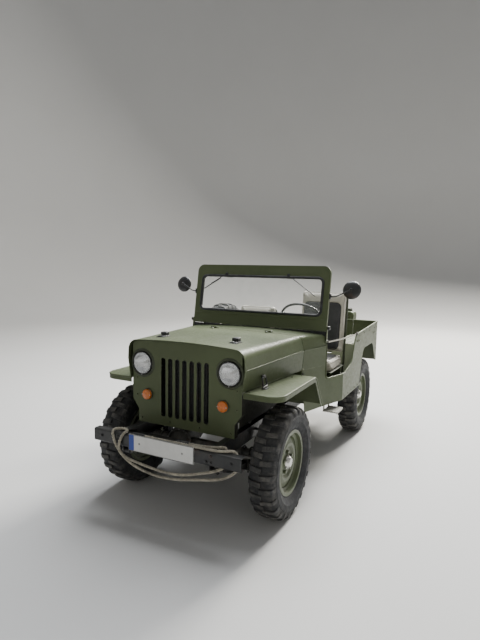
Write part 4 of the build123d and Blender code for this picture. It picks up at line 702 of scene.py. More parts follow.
def hex_bolt(name, across, height, washer=True):
    """A hexagon head with a chamfered top on a washer, upright at the origin."""
    piece = start(name, "cylinder", vertices=6, radius=across / HEXAGON, depth=height, location=(0, 0, height / 2))
    pick(piece, "FACE", lambda middle, normal: normal.z > 0.9)
    bpy.ops.mesh.inset(thickness=across * 0.10)
    shift(0, 0, height * 0.12)
    settle(piece)
    if not washer:
        return piece
    disc = start(name + "_washer", "cylinder", vertices=20, radius=across * 0.78, depth=height * 0.28,
                 location=(0, 0, 0))
    pick(disc, "EDGE", lambda middle, way: middle.z > 0 and abs(way.z) < 0.5)
    bevel_by(height * 0.06, 1)
    settle(disc)
    return joined(name, [piece, disc])


def aimed(point, way, turn=0.0):
    """The matrix that sets an upright piece at a point, its top along way."""
    facing = Vector(way).normalized().to_track_quat("Z", "Y").to_matrix().to_4x4()
    return Matrix.Translation(point) @ facing @ Matrix.Rotation(turn, 4, "Z")


def wheel_ring(out, radius, count, first):
    """Places in metres of heads round a wheel's middle, their tops along the axle. The first turn is in degrees."""
    turns = [math.radians(first + 360 / count * index) for index in range(count)]
    return [aimed(Vector((out, radius * math.cos(a), radius * math.sin(a))), LEFT, a) for a in turns]


class Making:
    """What every making step shares."""

    bl_options = {"REGISTER", "UNDO"}


class CAR_OT_materials(Making, bpy.types.Operator):
    """Makes every finish"""

    bl_idname = "car.materials"
    bl_label = "Finishes' colours"

    def execute(self, context):
        make_materials(colours())
        return {"FINISHED"}


# The tow rope and the stage

ROPE_ROUTE = (
    # first strand on the bumper's top, round its left end
    (-235, -530, 586.5), (-60, -532, 586.5), (130, -529, 586.5), (320, -531, 586.5), (436, -522, 588),
    (498, -472, 591), (511, -460, 522), (505, -462, 450),
    # outer bight under the bumper's front
    (425, -528, 410), (300, -557, 398), (150, -557, 362), (-10, -557, 346), (-170, -557, 366), (-290, -557, 412),
    (-370, -557, 492),
    # up over the bumper's edge, round and down again
    (-404, -555.5, 589), (-392, -503, 590), (-328, -492, 593.5), (-291, -522, 590), (-301, -556, 588),
    (-336, -557, 528),
    # inner bight
    (-346, -557, 470), (-296, -557, 425), (-150, -557, 402), (10, -557, 386), (165, -557, 394), (290, -551, 432),
    # behind the bumper and back over its top
    (378, -518, 450), (424, -466, 466), (431, -458, 534), (428, -461, 597), (378, -502, 595), (270, -508, 587),
    (90, -506, 586.5),
)
ROPE_STRANDS = 3
# Length in metres over which a strand goes once round
ROPE_TURN = 0.062
# A strand's distance from the middle and its radius, as shares of the rope's thickness
STRAND_OUT, STRAND_RADIUS = 0.232, 0.262
# A whipping's radius at its end and beyond, as shares of the same, and how many of the spline's points it covers
WHIPPING_END, WHIPPING_RADIUS = 0.53, 0.56
WHIPPING_POINTS = 4


def rope_line():
    """Points read from the rope's spline."""
    line = bpy.data.curves.new("rope_line", "CURVE")
    line.dimensions = "3D"
    line.resolution_u = 10
    spline = line.splines.new("NURBS")
    spline.points.add(len(ROPE_ROUTE) - 1)
    for point, place in zip(spline.points, ROPE_ROUTE):
        point.co = (*at(*place), 1.0)
    spline.order_u = 3
    spline.use_endpoint_u = True
    holder = bpy.data.objects.new("rope_line", line)
    bpy.context.scene.collection.objects.link(holder)
    bpy.context.view_layer.update()
    drawn = bpy.data.meshes.new_from_object(holder.evaluated_get(bpy.context.evaluated_depsgraph_get()))
    path = [vert.co.copy() for vert in drawn.vertices]
    bpy.data.objects.remove(holder)
    return path


def swept(name, rings):
    """A closed skin over rings of points, with each ring's running length stored as the attribute lay."""
    count = len(rings[0][0])
    shape = bmesh.new()
    lay = shape.verts.layers.float.new("lay")
    rows = []
    for ring, length in rings:
        row = [shape.verts.new(point) for point in ring]
        for vert in row:
            vert[lay] = length
        rows.append(row)
    for row, after in zip(rows, rows[1:]):
        for index in range(count):
            beside = (index + 1) % count
            shape.faces.new((row[index], row[beside], after[beside], after[index]))
    shape.faces.new(rows[0][::-1])
    shape.faces.new(rows[-1])
    bmesh.ops.recalc_face_normals(shape, faces=shape.faces)
    mesh = bpy.data.meshes.new(name)
    shape.to_mesh(mesh)
    shape.free()
    piece = bpy.data.objects.new(name, mesh)
    bpy.context.scene.collection.objects.link(piece)
    for polygon in mesh.polygons:
        polygon.use_smooth = True
    return piece


def ring_about(middle, way, side, radius, count):
    """Points of a circle about a middle, square to way."""
    other = way.cross(side)
    turns = (2 * math.pi * index / count for index in range(count))
    return [middle + (side * math.cos(turn) + other * math.sin(turn)) * radius for turn in turns]


class CAR_OT_tow_rope(Making, bpy.types.Operator):
    """Lays the three-strand tow rope over the bumper"""

    bl_idname = "car.tow_rope"
    bl_label = "Tow rope"

    def execute(self, context):
        path = rope_line()
        thick = sizes().rope_thickness
        lengths = [0.0]
        for before, after in zip(path, path[1:]):
            lengths.append(lengths[-1] + (after - before).length)
        ways = [(path[min(i + 1, len(path) - 1)] - path[max(i - 1, 0)]).normalized() for i in range(len(path))]
        side = ways[0].orthogonal().normalized()
        sides = []
        for way in ways:
            side = (side - way * side.dot(way)).normalized()
            sides.append(side)
        strands = []
        reach = thick * STRAND_OUT
        for strand in range(ROPE_STRANDS):
            rings = []
            for middle, way, side, length in zip(path, ways, sides, lengths):
                angle = 2 * math.pi * (strand / ROPE_STRANDS + length / ROPE_TURN)
                offset = side * math.cos(angle) + way.cross(side) * math.sin(angle)
                rings.append((ring_about(middle + offset * reach, way, side, thick * STRAND_RADIUS, 8),
                              length + strand * 0.3))
            strands.append(swept(f"rope_strand_{strand}", rings))
        rope = joined("tow_rope_laid", strands)
        dress(rope, "rope_fibre", stands_for=("tow_rope",))
        bands = []
        for start_at, step in ((0, 1), (len(path) - 1, -1)):
            rings = []
            for i in range(start_at, start_at + WHIPPING_POINTS * step, step):
                share = WHIPPING_END if i == start_at else WHIPPING_RADIUS
                rings.append((ring_about(path[i], ways[i], sides[i], thick * share, 12), lengths[i] * 9))
            bands.append(swept("rope_whipping", rings))
        whipping = fit("rope_whippings", bands, "seal_rubber")
        return {"FINISHED"}


# The floor's flat radius and the radius of its sweep, in millimetres
FLOOR_FLAT, FLOOR_SWEEP = 11000, 5500
# The photograph's camera: its place in millimetres, its yaw, pitch and roll in degrees
CAMERA_PLACE = (1777, -2959, 1697)
CAMERA_TURN = (26.97, 6.34, 0.91)
LENS, SENSOR = 27.0, 36.0
# The sky's colour, the way to its bright side and its strength from the dark side to the bright one
SKY = (0.93, 0.95, 1.0, 1.0)
BRIGHT_SIDE = (0.24, 0.85, 0.46)
SKY_DARK, SKY_BRIGHT = 0.05, 0.46
LAMPS = (
    # name, place, width, share of the key light, colour
    ("key_light", (1.7, 10.0, 7.6), 3.2, 8.6, (1.0, 0.97, 0.90)),
    ("sky_light", (-0.2, 1.8, 6.0), 4.0, 1.8, (0.96, 0.98, 1.0)),
)


def studio_floor():
    """A flat disc whose rim sweeps up all round."""
    turns = [math.radians(9 * step) for step in range(11)]
    sweep = [(FLOOR_SWEEP * (1 - math.cos(a)), FLOOR_FLAT + FLOOR_SWEEP * math.sin(a)) for a in turns]
    floor = turned("studio_floor", [(0, 0), *sweep, (17000, FLOOR_FLAT + FLOOR_SWEEP)], (0, 0, -0.001), UP, 96)
    graph = Graph("studio_floor")
    grey = graph.blend(graph.noise(0.6, 2.0), (0.52, 0.52, 0.515), (0.55, 0.55, 0.545))
    graph.set(Base_Color=grey, Roughness=0.9)
    floor.data.materials.append(graph.material)


def studio_sky(scene):
    """A pale sky that is brighter on one side."""
    scene.world = bpy.data.worlds.new("studio")
    scene.world.use_nodes = True
    tree = scene.world.node_tree
    background = tree.nodes["Background"]
    background.inputs["Color"].default_value = SKY
    height = tree.nodes.new("ShaderNodeVectorMath")
    height.operation = "DOT_PRODUCT"
    tree.links.new(tree.nodes.new("ShaderNodeTexCoord").outputs["Generated"], height.inputs[0])
    height.inputs[1].default_value = BRIGHT_SIDE
    glow = tree.nodes.new("ShaderNodeMapRange")
    tree.links.new(height.outputs["Value"], glow.inputs["Value"])
    glow.interpolation_type = "SMOOTHSTEP"
    for socket, value in (("From Min", -1.0), ("From Max", 1.0), ("To Min", SKY_DARK), ("To Max", SKY_BRIGHT)):
        glow.inputs[socket].default_value = value
    tree.links.new(glow.outputs["Result"], background.inputs["Strength"])


def studio_lamps(scene):
    """Large soft lamps, each turned to the car's middle."""
    for name, place, width, share, colour in LAMPS:
        light = bpy.data.lights.new(name, "AREA")
        light.size = width
        light.energy = sizes().key_strength * share
        light.color = colour
        lamp = bpy.data.objects.new(name, light)
        lamp.matrix_world = aimed(place, Vector(place) - Vector((0, 0, 0.7)))
        scene.collection.objects.link(lamp)


def photo_camera(scene):
    """The camera that stands and looks as the photograph's did."""
    yaw, pitch, roll = (math.radians(angle) for angle in CAMERA_TURN)
    ahead = Vector((-math.sin(yaw) * math.cos(pitch), math.cos(yaw) * math.cos(pitch), -math.sin(pitch)))
    right = ahead.cross(Vector(UP)).normalized()
    up = right.cross(ahead)
    turned_right = right * math.cos(roll) + up * math.sin(roll)
    turned_up = up * math.cos(roll) - right * math.sin(roll)
    view = bpy.data.cameras.new("photo_view")
    view.lens = LENS
    view.sensor_width = SENSOR
    view.clip_end = 200.0
    camera = bpy.data.objects.new("photo_view", view)
    facing = Matrix((turned_right, turned_up, -ahead)).transposed().to_4x4()
    camera.matrix_world = set_at(*CAMERA_PLACE) @ facing
    scene.collection.objects.link(camera)
    scene.camera = camera


class CAR_OT_stage(Making, bpy.types.Operator):
    """Sets the pale floor, the soft lights and the camera"""

    bl_idname = "car.stage"
    bl_label = "Stage"

    def execute(self, context):
        studio_floor()
        studio_sky(context.scene)
        studio_lamps(context.scene)
        photo_camera(context.scene)
        context.scene.view_settings.view_transform = "AgX"
        return {"FINISHED"}


# Finishes on the pieces that come from the frame

FINISHES = inverted({
    # what isn't named is painted olive
    "chassis_black": ("frame", "front_bumper", "leaf_springs", "shock_absorbers", "radiator", "steering_column",
                      "tow_hitch"),
    "axle_iron": ("front_axle", "rear_axle", "knuckle_left", "knuckle_right", "engine_block", "gearbox"),
    "greased_steel": ("tie_rod", "propeller_shafts"),
    "exhaust_steel": ("exhaust",),
    "olive_dark": ("fuel_tank", "seat_frames", "spare_carrier"),
    "olive_inside": ("tub_floor",),
    "wheel_olive": ("rim_front_left", "rim_front_right", "rim_rear_left", "rim_rear_right", "spare_rim"),
    "plate_white": ("number_plate",),
    "pane_glass": ("windscreen_glass",),
    "black_gloss": ("steering_wheel", "mirrors"),
    "pale_step": ("steps",),
    "seal_rubber": ("wipers",),
})


class CAR_OT_finishes(Making, bpy.types.Operator):
    """Gives every piece of the frame its finish"""

    bl_idname = "car.finishes"
    bl_label = "Finishes"

    def execute(self, context):
        for name, node in NODES.items():
            paint(node, FINISHES.get(name, "olive_paint"))
        return {"FINISHED"}


# Tyres and wheels

TYRE_PROFILE = (
    # along the axle and out from it, in millimetres, round the closed section
    (-52, 206), (-63, 205), (-63.2, 224), (-70, 232), (-71.5, 233), (-75, 238), (-84, 254), (-90, 268), (-92.3, 272),
    (-93.4, 273.5), (-94.4, 280), (-94.2, 281), (-95.2, 292), (-94.4, 306), (-94.6, 307), (-93.4, 317), (-91.6, 318),
    (-87.5, 336), (-84, 347), (-78, 358), (-66, 364), (-40, 367), (0, 368),
)
LUG_STATIONS = (
    # along the axle, top of the lug and its root, out from the axle
    (-7.0, 380.0, 362.0), (30.0, 380.0, 362.0), (52.0, 378.6, 361.0), (70.0, 373.6, 357.0), (81.0, 365.0, 350.0),
    (88.5, 350.0, 340.0), (92.8, 331.0, 328.0),
)
# Where a lug's block starts and ends before it is shaped, out from the axle in metres
LUG_TOP, LUG_ROOT = 0.380, 0.362
# A lug's slant round the tyre over 80 mm of width, its root's spread to each side and its broken edge, in metres
LUG_SLANT, ROOT_SPREAD, LUG_BEVEL = 0.011, 0.0026, 0.0022


def lug_shape():
    """One lug on the left half of the tread at the top of a tyre whose hub is the origin."""
    half = sizes().lug_half_width
    first, last = LUG_STATIONS[0], LUG_STATIONS[-1]
    half_way = (LUG_TOP + LUG_ROOT) / 2
    middle = ((first[0] + last[0]) / 2000, 0, half_way)
    lug = cube("lug", middle, ((last[0] - first[0]) / 1000, 2 * half, LUG_TOP - LUG_ROOT))
    apply_place()
    for along, _, _ in LUG_STATIONS[1:-1]:
        edit_all()
        bpy.ops.mesh.bisect(plane_co=(along / 1000, 0, half_way), plane_no=LEFT)
        leave_edit()
    for along, top, root in LUG_STATIONS:
        for is_top, height, grow in ((True, top, 0.0), (False, root, ROOT_SPREAD)):
            level = LUG_TOP if is_top else LUG_ROOT
            slant = LUG_SLANT * (along - first[0]) / 80
            for hand in (-1, 1):
                pick(lug, "VERT", lambda co, normal: abs(co.x - along / 1000) < 0.0005 and abs(co.z - level) < 0.0008
                     and co.y * hand > 0 and abs(co.y) > half * 0.9)
                shift(0, hand * grow + slant, height / 1000 - level)
    pick(lug, "EDGE", lambda middle, way: middle.z > 0.364 and abs(way.x) > 0.5)
    bevel_by(LUG_BEVEL, 1)
    return settle(lug)


def tyre_shape():
    """A whole tyre about the X axis through the origin."""
    half = list(TYRE_PROFILE)
    profile = half + [(-a, r) for a, r in half[-2::-1]]
    inner = [(50, 212), (66, 240), (81, 292), (70, 342), (40, 350), (0, 352)]
    profile += inner + [(-a, r) for a, r in inner[-2::-1]] + [half[0]]
    carcass = turned("tyre_carcass", profile, (0, 0, 0), steps=96)
    lug = lug_shape()
    count = sizes().lug_count
    twin = copied(lug, MIRRORED, "lug_right")
    places = [rolled(360 * index / count) for index in range(count)]
    between = rolled(180 / count)
    lugs = copies(lug, places, "lugs_left")
    more = copies(twin, [between @ place for place in places], "lugs_right")
    tyre = joined("tyre_pattern", [carcass, lugs, more])
    reach = tyre.data.attributes.new("reach", "FLOAT", "POINT")
    for vert, value in zip(tyre.data.vertices, reach.data):
        value.value = math.hypot(vert.co.y, vert.co.z)
    return tyre


def hub_place(side, y):
    """From a wheel drawn at the origin, its outer side towards +X, to its place on the car."""
    return set_at(side * HALF_TRACK, y, HUB_Z) @ rolled(180 if side < 0 else 0, "Z")


class CAR_OT_tyres(Making, bpy.types.Operator):
    """Models the lugged tyre and sets it on the four wheels and the spare"""

    bl_idname = "car.tyres"
    bl_label = "Tyres"

    def execute(self, context):
        pattern = tyre_shape()
        for name, body, side, y, turn in WHEELS:
            place = hub_place(side, y) @ rolled(turn)
            tyre = copied(pattern, place, "tread_" + name)
            dress(tyre, "tyre_rubber", body, stands_for=("tyre_" + name,))
        tyre = copied(pattern, SPARE @ rolled(SPARE_TURN), "tread_spare")
        dress(tyre, "tyre_rubber", stands_for=("spare_tyre",))
        bpy.data.objects.remove(pattern)
        return {"FINISHED"}


# The studs' number and the radius of their circle in metres
STUDS, STUD_CIRCLE = 5, 0.06985
# The same of the screws in a hub cap
CAP_SCREWS, CAP_CIRCLE = 6, 0.0445


class CAR_OT_wheel_fittings(Making, bpy.types.Operator):
    """Adds wheel nuts, hub caps with their bolts, and valves"""

    bl_idname = "car.wheel_fittings"
    bl_label = "Wheel fittings"

    def execute(self, context):
        nuts = copies(hex_bolt("wheel_nut", 0.0245, 0.019), wheel_ring(0.0275, STUD_CIRCLE, STUDS, 90), "wheel_nuts")
        cap = turned("hub_cap", ((40, 0), (40, 47), (43, 47.4), (46, 42.6), (49, 41.4), (52, 38.6), (60, 34),
                                 (64.2, 31), (66.4, 26), (67.4, 14), (67.6, 0)), (0, 0, 0), steps=40)
        bolt = hex_bolt("cap_bolt", 0.0088, 0.0052, washer=False)
        bolts = copies(bolt, wheel_ring(0.0441, CAP_CIRCLE, CAP_SCREWS, 30), "cap_bolts")
        valve = line("valve", [(40, 0, 172), (52, 0, 178), (60, 0, 186)], 3.5, 6, place=mm)
        for name, body, side, y, turn in WHEELS:
            place = hub_place(side, y) @ rolled(turn)
            for pattern, piece, finish in ((nuts, "nuts_", "wheel_olive"), (cap, "cap_", "bright_metal"),
                                           (bolts, "cap_bolts_", "zinc_bolt")):
                dress(copied(pattern, hub_place(side, y), piece + name), finish, body)
            dress(copied(valve, place, "valve_" + name), "seal_rubber", body)
        dress(copied(nuts, SPARE, "nuts_spare"), "wheel_olive")
        dress(copied(valve, SPARE, "valve_spare"), "seal_rubber")
        for pattern in (nuts, cap, bolts, valve):
            bpy.data.objects.remove(pattern)
        return {"FINISHED"}


# Lamps and front end

HEADLAMP_PARTS = (
    # name, finish, slot, turned profile: ahead of the grille and out from the lamp's middle
    ("lamp_bowls", "chassis_black", "black_paint",
     ((4, 80), (2, 83.5), (-8, 84), (-45, 70), (-62, 30), (-62, 0), (-59, 0), (-59, 28), (-43, 67), (-8, 80),
      (4, 80))),
    ("lamp_reflectors", "reflector", "lens",
     ((6, 76), (-4, 72), (-18, 62), (-32, 45), (-42, 22), (-45, 0), (-47, 0), (-44, 23), (-34, 47), (-20, 64),
      (-5, 75), (5, 79), (6, 76))),
    ("lamp_bulbs", "bright_metal", "steel",
     ((-46, 0), (-46, 9), (-38, 9), (-36, 5), (-26, 5), (-20, 8), (-13, 6), (-10, 0))),
    ("lamp_lenses", "lamp_glass", "lens",
     ((7, 76.5), (11, 70), (16, 56), (20, 38), (22.6, 18), (23.4, 0), (20.4, 0), (19.8, 18), (17.2, 38), (13.2, 56),
      (8.5, 69), (5, 75), (7, 76.5))),
    ("lamp_bezels", "black_gloss", "olive",
     ((-2, 84), (4, 84), (9, 82.8), (12, 80.5), (12.8, 78), (11.5, 76), (8, 75.2), (5, 76), (3, 80), (-2, 80.5),
      (-2, 84))),
    # The surround is given the dark olive as painted shade round each lamp.
    ("lamp_surrounds", "olive_dark", "olive",
     ((-3, 86), (3, 86), (6.5, 88), (8, 91), (7, 95), (4, 99), (0, 103), (-3, 103), (-3, 86))),
)
INDICATOR_PARTS = (
    ("indicator_bodies", "olive_dark", "olive",
     ((-15, 0), (-15, 29), (0, 29), (0, 42), (8, 42), (10, 40.5), (10, 38), (7, 38), (7, 0))),
    ("indicator_lenses", "amber_lens", "amber",
     ((7.5, 0), (7.5, 37.6), (16, 37), (22, 35.5), (24, 33.5), (24.5, 30), (27, 28), (27.5, 22), (29.5, 20),
      (30, 12), (31.5, 10), (31.8, 0))),
)
TAIL_LAMP_PARTS = (
    ("tail_lamp_bodies", "olive_dark", "olive",
     ((0, 0), (0, 30), (8, 30), (9, 42), (11, 44), (26, 44), (28, 42.5), (28, 40), (24, 40), (24, 0))),
    ("tail_lamp_lenses", "red_lens", "lens",
     ((24.5, 0), (24.5, 39.5), (34, 39), (42, 36.5), (44, 33), (44.5, 29), (47, 27), (47.5, 16), (49.5, 14),
      (49.8, 0))),
)


class CAR_OT_lamps(Making, bpy.types.Operator):
    """Models headlamps, front indicators and tail lamps"""

    bl_idname = "car.lamps"
    bl_label = "Lamps"

    def execute(self, context):
        sets = (
            (HEADLAMP_PARTS, (350, -285, 1010), AHEAD, ("headlamps",)),
            (INDICATOR_PARTS, (305, -285, 790), AHEAD, ("signal_lamps",)),
            (TAIL_LAMP_PARTS, (640, 2510, 880), AFT, ()),
        )
        for rows, centre, way, stands_for in sets:
            for index, (name, finish, slot, profile) in enumerate(rows):
                piece = both_sides(lathe(name, profile, centre, way))
                dress(piece, finish, stands_for=() if index else stands_for)
        places = grid(AHEAD, 350, -298, 929) + grid(AHEAD, (272, 338), -309, 790) + grid(AFT, 640, 2553, (846, 914))
        bolted("lamp_screws", 7, 3, places, "zinc_bolt", both=True, washer=False)
        return {"FINISHED"}


def arc_through(first, middle, last, steps):
    """Points of the circle through three (x, z) points, from the first to the last."""
    (ax, az), (bx, bz), (cx, cz) = first, middle, last
    d = 2 * (ax * (bz - cz) + bx * (cz - az) + cx * (az - bz))
    aa, bb, cc = ax * ax + az * az, bx * bx + bz * bz, cx * cx + cz * cz
    ux = (aa * (bz - cz) + bb * (cz - az) + cc * (az - bz)) / d
    uz = (aa * (cx - bx) + bb * (ax - cx) + cc * (bx - ax)) / d
    radius = math.hypot(ax - ux, az - uz)
    start_angle = math.atan2(az - uz, ax - ux)
    turn = math.atan2(cz - uz, cx - ux) - start_angle
    turn = (turn + math.pi) % (2 * math.pi) - math.pi
    return [(ux + radius * math.cos(start_angle + turn * i / steps),
             uz + radius * math.sin(start_angle + turn * i / steps)) for i in range(steps + 1)]


HOOD_SECTIONS = (
    # place along the car, then (x, z) of foot, crease, foot and top of the shoulder, crown
    (-302.0, (447.0, 900.5), (468.0, 1040.0), (464.0, 1100.0), (396.0, 1174.0), (0.0, 1188.0)),
    (535.0, (545.0, 900.5), (560.0, 1058.0), (538.0, 1132.0), (484.0, 1170.0), (0.0, 1181.0)),
)


def hood_section(y, inset=0.0):
    """The left half of the hood's outline at a place along the car, from its foot to the middle."""
    front, rear = HOOD_SECTIONS
    share = (y - front[0]) / (rear[0] - front[0])
    foot, crease, low, high, crown = ((a[0] + (b[0] - a[0]) * share, a[1] + (b[1] - a[1]) * share)
                                      for a, b in zip(front[1:], rear[1:]))
    bulge = ((low[0] + high[0]) / 2 + (high[1] - low[1]) * 0.2, (low[1] + high[1]) / 2 + (low[0] - high[0]) * 0.2)
    shoulder = arc_through(low, bulge, high, 8)
    top = arc_through(high, crown, (-high[0], high[1]), 16)[1:9]
    return [(x * (1 - inset / 450), z - inset) for x, z in [foot, crease, *shoulder, *top]]


def hood_line(name, y, radius, inset=0.0, first=0):
    """A bar along the hood's outline at one place, from a point of its half section over to the other side."""
    half = hood_section(y, inset)[first:]
    points = [(x, y, z) for x, z in half] + [(-x, y, z) for x, z in half[-2::-1]]
    return line(name, points, radius)


class CAR_OT_hood_fittings(Making, bpy.types.Operator):
    """Adds the hood's rolled edges, side creases, rubber rests, hooks and inner braces"""

    bl_idname = "car.hood_fittings"
    bl_label = "Hood fittings"

    def execute(self, context):
        edge = hood_line("hood_front_edge", -300.4, 3.4, 1.2)
        crease = both_sides(line("hood_crease", [(466.4, -298, 1040), (558.4, 531, 1058)], 4.6))
        foot = both_sides(line("hood_foot_edge", [(446, -298, 903), (543.6, 531, 903)], 3.2))
        fit("hood_edges", [edge, crease, foot], "olive_paint", "hood_panel")
        braces = [hood_line("hood_brace", y, 8, 13.0, 3) for y in (-180, 130, 420)]
        fit("hood_braces", braces, "olive_dark", "hood_panel")
        rests, plates, screws = [], [], []
        for x, y in ((281, -67), (-300, -90)):
            rests.append(block("hood_rest", span(x, 24), span(y, 23), (1170, 1214), 6, 3))
            rests.append(block("hood_rest_foot", span(x, 26), (y - 56, y + 25), (1168, 1189), 5, 3))
            plates.append(block("hood_rest_plate", span(x, 32), (y - 62, y + 30), (1164, 1183), 1.5))
            screws += [((x, y - 46, 1189), UP), ((x - 28, y, 1183), UP), ((x + 28, y, 1183), UP)]
        fit("hood_rests", rests, "seal_rubber", "hood_panel")
        fit("hood_rest_plates", plates, "chassis_black", "hood_panel")
        bolted("hood_rest_screws", 9, 4, screws, "zinc_bolt", "hood_panel")
        loop = line("hood_hook", [(521, -136, 906), (500, -112, 968), (498, -52, 972), (516, -66, 906)], 5.2, 14)
        grip = line("hood_hook_grip", [(521, -142, 908), (516, -60, 908)], 6.5)
        keeper = block("hood_keeper", (486, 506), (-98, -66), (958, 980), 4)
        fit("hood_hooks", [loop, grip, keeper], "chassis_black", "hood_panel", both=True)
        base = block("hook_bracket", (502, 538), (-128, -74), (895.2, 899), 1.5)
        dress(both_sides(base), "chassis_black")
        bolted("hood_hinge_screws", 9, 4, grid(UP, (-267, -233, 233, 267), 566, 1184), "zinc_bolt")
        bolted("hood_leaf_screws", 9, 4, grid(UP, (-250, 250), 512, 1184), "zinc_bolt", "hood_panel")
        return {"FINISHED"}


# The radiator's fins: how many, how far apart, their width and their folds' width in metres
FINS, FIN_PITCH, FIN_WIDE, FIN_FOLD = 40, 0.0095, 0.446, 0.00743
# Its pipes: how many, and how far apart
PIPES, PIPE_PITCH = 13, 0.0366


class CAR_OT_grille_fittings(Making, bpy.types.Operator):
    """Rolls the slots' edges, adds the radiator's fins and the front's bolts"""

    bl_idname = "car.grille_fittings"
    bl_label = "Grille fittings"

    def execute(self, context):
        rims = [bead("slot_rim", (40.2, 420.2), 20.1, (x, -283.6, 853.5), 1.8) for x in range(-174, 175, 58)]
        fit("slot_rims", rims, "olive_paint")
        fin = start("radiator_fin", "grid", x_subdivisions=60, y_subdivisions=1, size=1.0, location=at(0, -229, 660),
                    scale=(FIN_WIDE, 0.008, 1))
        settle(fin)
        pick(fin, "VERT", lambda co, normal: round((co.x + FIN_WIDE / 2) / FIN_FOLD) % 2)
        shift(0, 0, 0.0035)
        leave_edit()
        modify(fin, "SOLIDIFY", thickness=0.0006)
        fins = copies(fin, [Matrix.Translation((0, 0, FIN_PITCH * step)) for step in range(FINS)], "radiator_fins")
        dress(fins, "chassis_black")
        pipe = block("radiator_pipe", (-222, -216), (-232, -224), (642, 1038), 1.5)
        pipes = copies(pipe, [Matrix.Translation((PIPE_PITCH * step, 0, 0)) for step in range(PIPES)],
                       "radiator_pipes")
        dress(pipes, "chassis_black")
        places = grid(AHEAD, (-402, 402), -285, (775, 900)) + grid(AHEAD, (-360, -120, 120, 360), -285, 612)
        bolted("grille_bolts", 12, 6, places, "olive_paint")
        outline = [(388, 584), (388, 676), (438, 745), (438, 905)]
        edge = both_sides(line("grille_edge", [(x - 1.4, -283.4, z) for x, z in outline], 3.2, 6))
        lower = line("grille_low_edge", [(-387, -283.4, 584), (387, -283.4, 584)], 3.2)
        fit("grille_edges", [edge, lower], "olive_paint")
        return {"FINISHED"}


class CAR_OT_bumper_and_plate(Making, bpy.types.Operator):
    """Bolts the bumper on and gives the blank plate its rim, strip and screws"""

    bl_idname = "car.bumper_and_plate"
    bl_label = "Bumper and plate"

    def execute(self, context):
        bolts = ((330, 512), (362, 512), (362, 554), (503, 532))
        places = [((side * x, -543, z), AHEAD) for side in (-1, 1) for x, z in bolts]
        bolted("bumper_bolts", 17, 9, places, "chassis_black")
        strip = cube("plate_strip", at(-239, -550.2, 532), (0.040, 0.0016, 0.104))
        settle(strip)
        pick(strip, "EDGE", lambda middle, way: abs(way.y) > 0.9)
        bevel_by(0.004, 3)
        dress(settle(strip), "plate_blue")
        rim = bead("plate_rim", (503, 110), 8, (-8, -549.6, 532), 1.9)
        dress(rim, "chassis_black")
        dress(bead("plate_bead", (494, 101), 6, (-8, -550.2, 532), 0.8), "plate_white")
        bolted("plate_screws", 9, 3.4, grid(AHEAD, (-175, 160), -550.2, 532), "zinc_bolt")
        return {"FINISHED"}


class CAR_OT_wing_edges(Making, bpy.types.Operator):
    """Rolls the wings' outer edges and bolts the wings on"""

    bl_idname = "car.wing_edges"
    bl_label = "Wing edges"

    def execute(self, context):
        top = [(452, -287, 892.4), (705.2, -287, 892.4), (705.2, 399, 892.4), (705.2, 569.6, 649)]
        low = [(452, -287.2, 863), (705.4, -287.2, 863), (705.4, 389, 863), (705.4, 548, 637)]
        edge, lip = line("wing_edge", top, 7.5, (94, 22)), line("wing_lip", low, 3.4, (94, 22))
        fit("wing_edges", [edge, lip], "olive_paint", both=True)
        places = [((x, y, 895), UP) for x, y in ((470, -240), (556, 300), (600, 380))]
        bolted("wing_bolts", 12, 6, places, "olive_paint", both=True)
        return {"FINISHED"}


# Windscreen and mirrors


def set_on_screen(piece):
    """Moves a piece that was drawn upright about the screen's pivot onto the car."""
    piece.data.transform(SCREEN)
    return piece


WIPERS = (
    # motor's x and z, tip's x and z, on the upright screen in millimetres
    ((270, 428), (500, 270)),
    ((-330, 428), (-540, 300)),
)


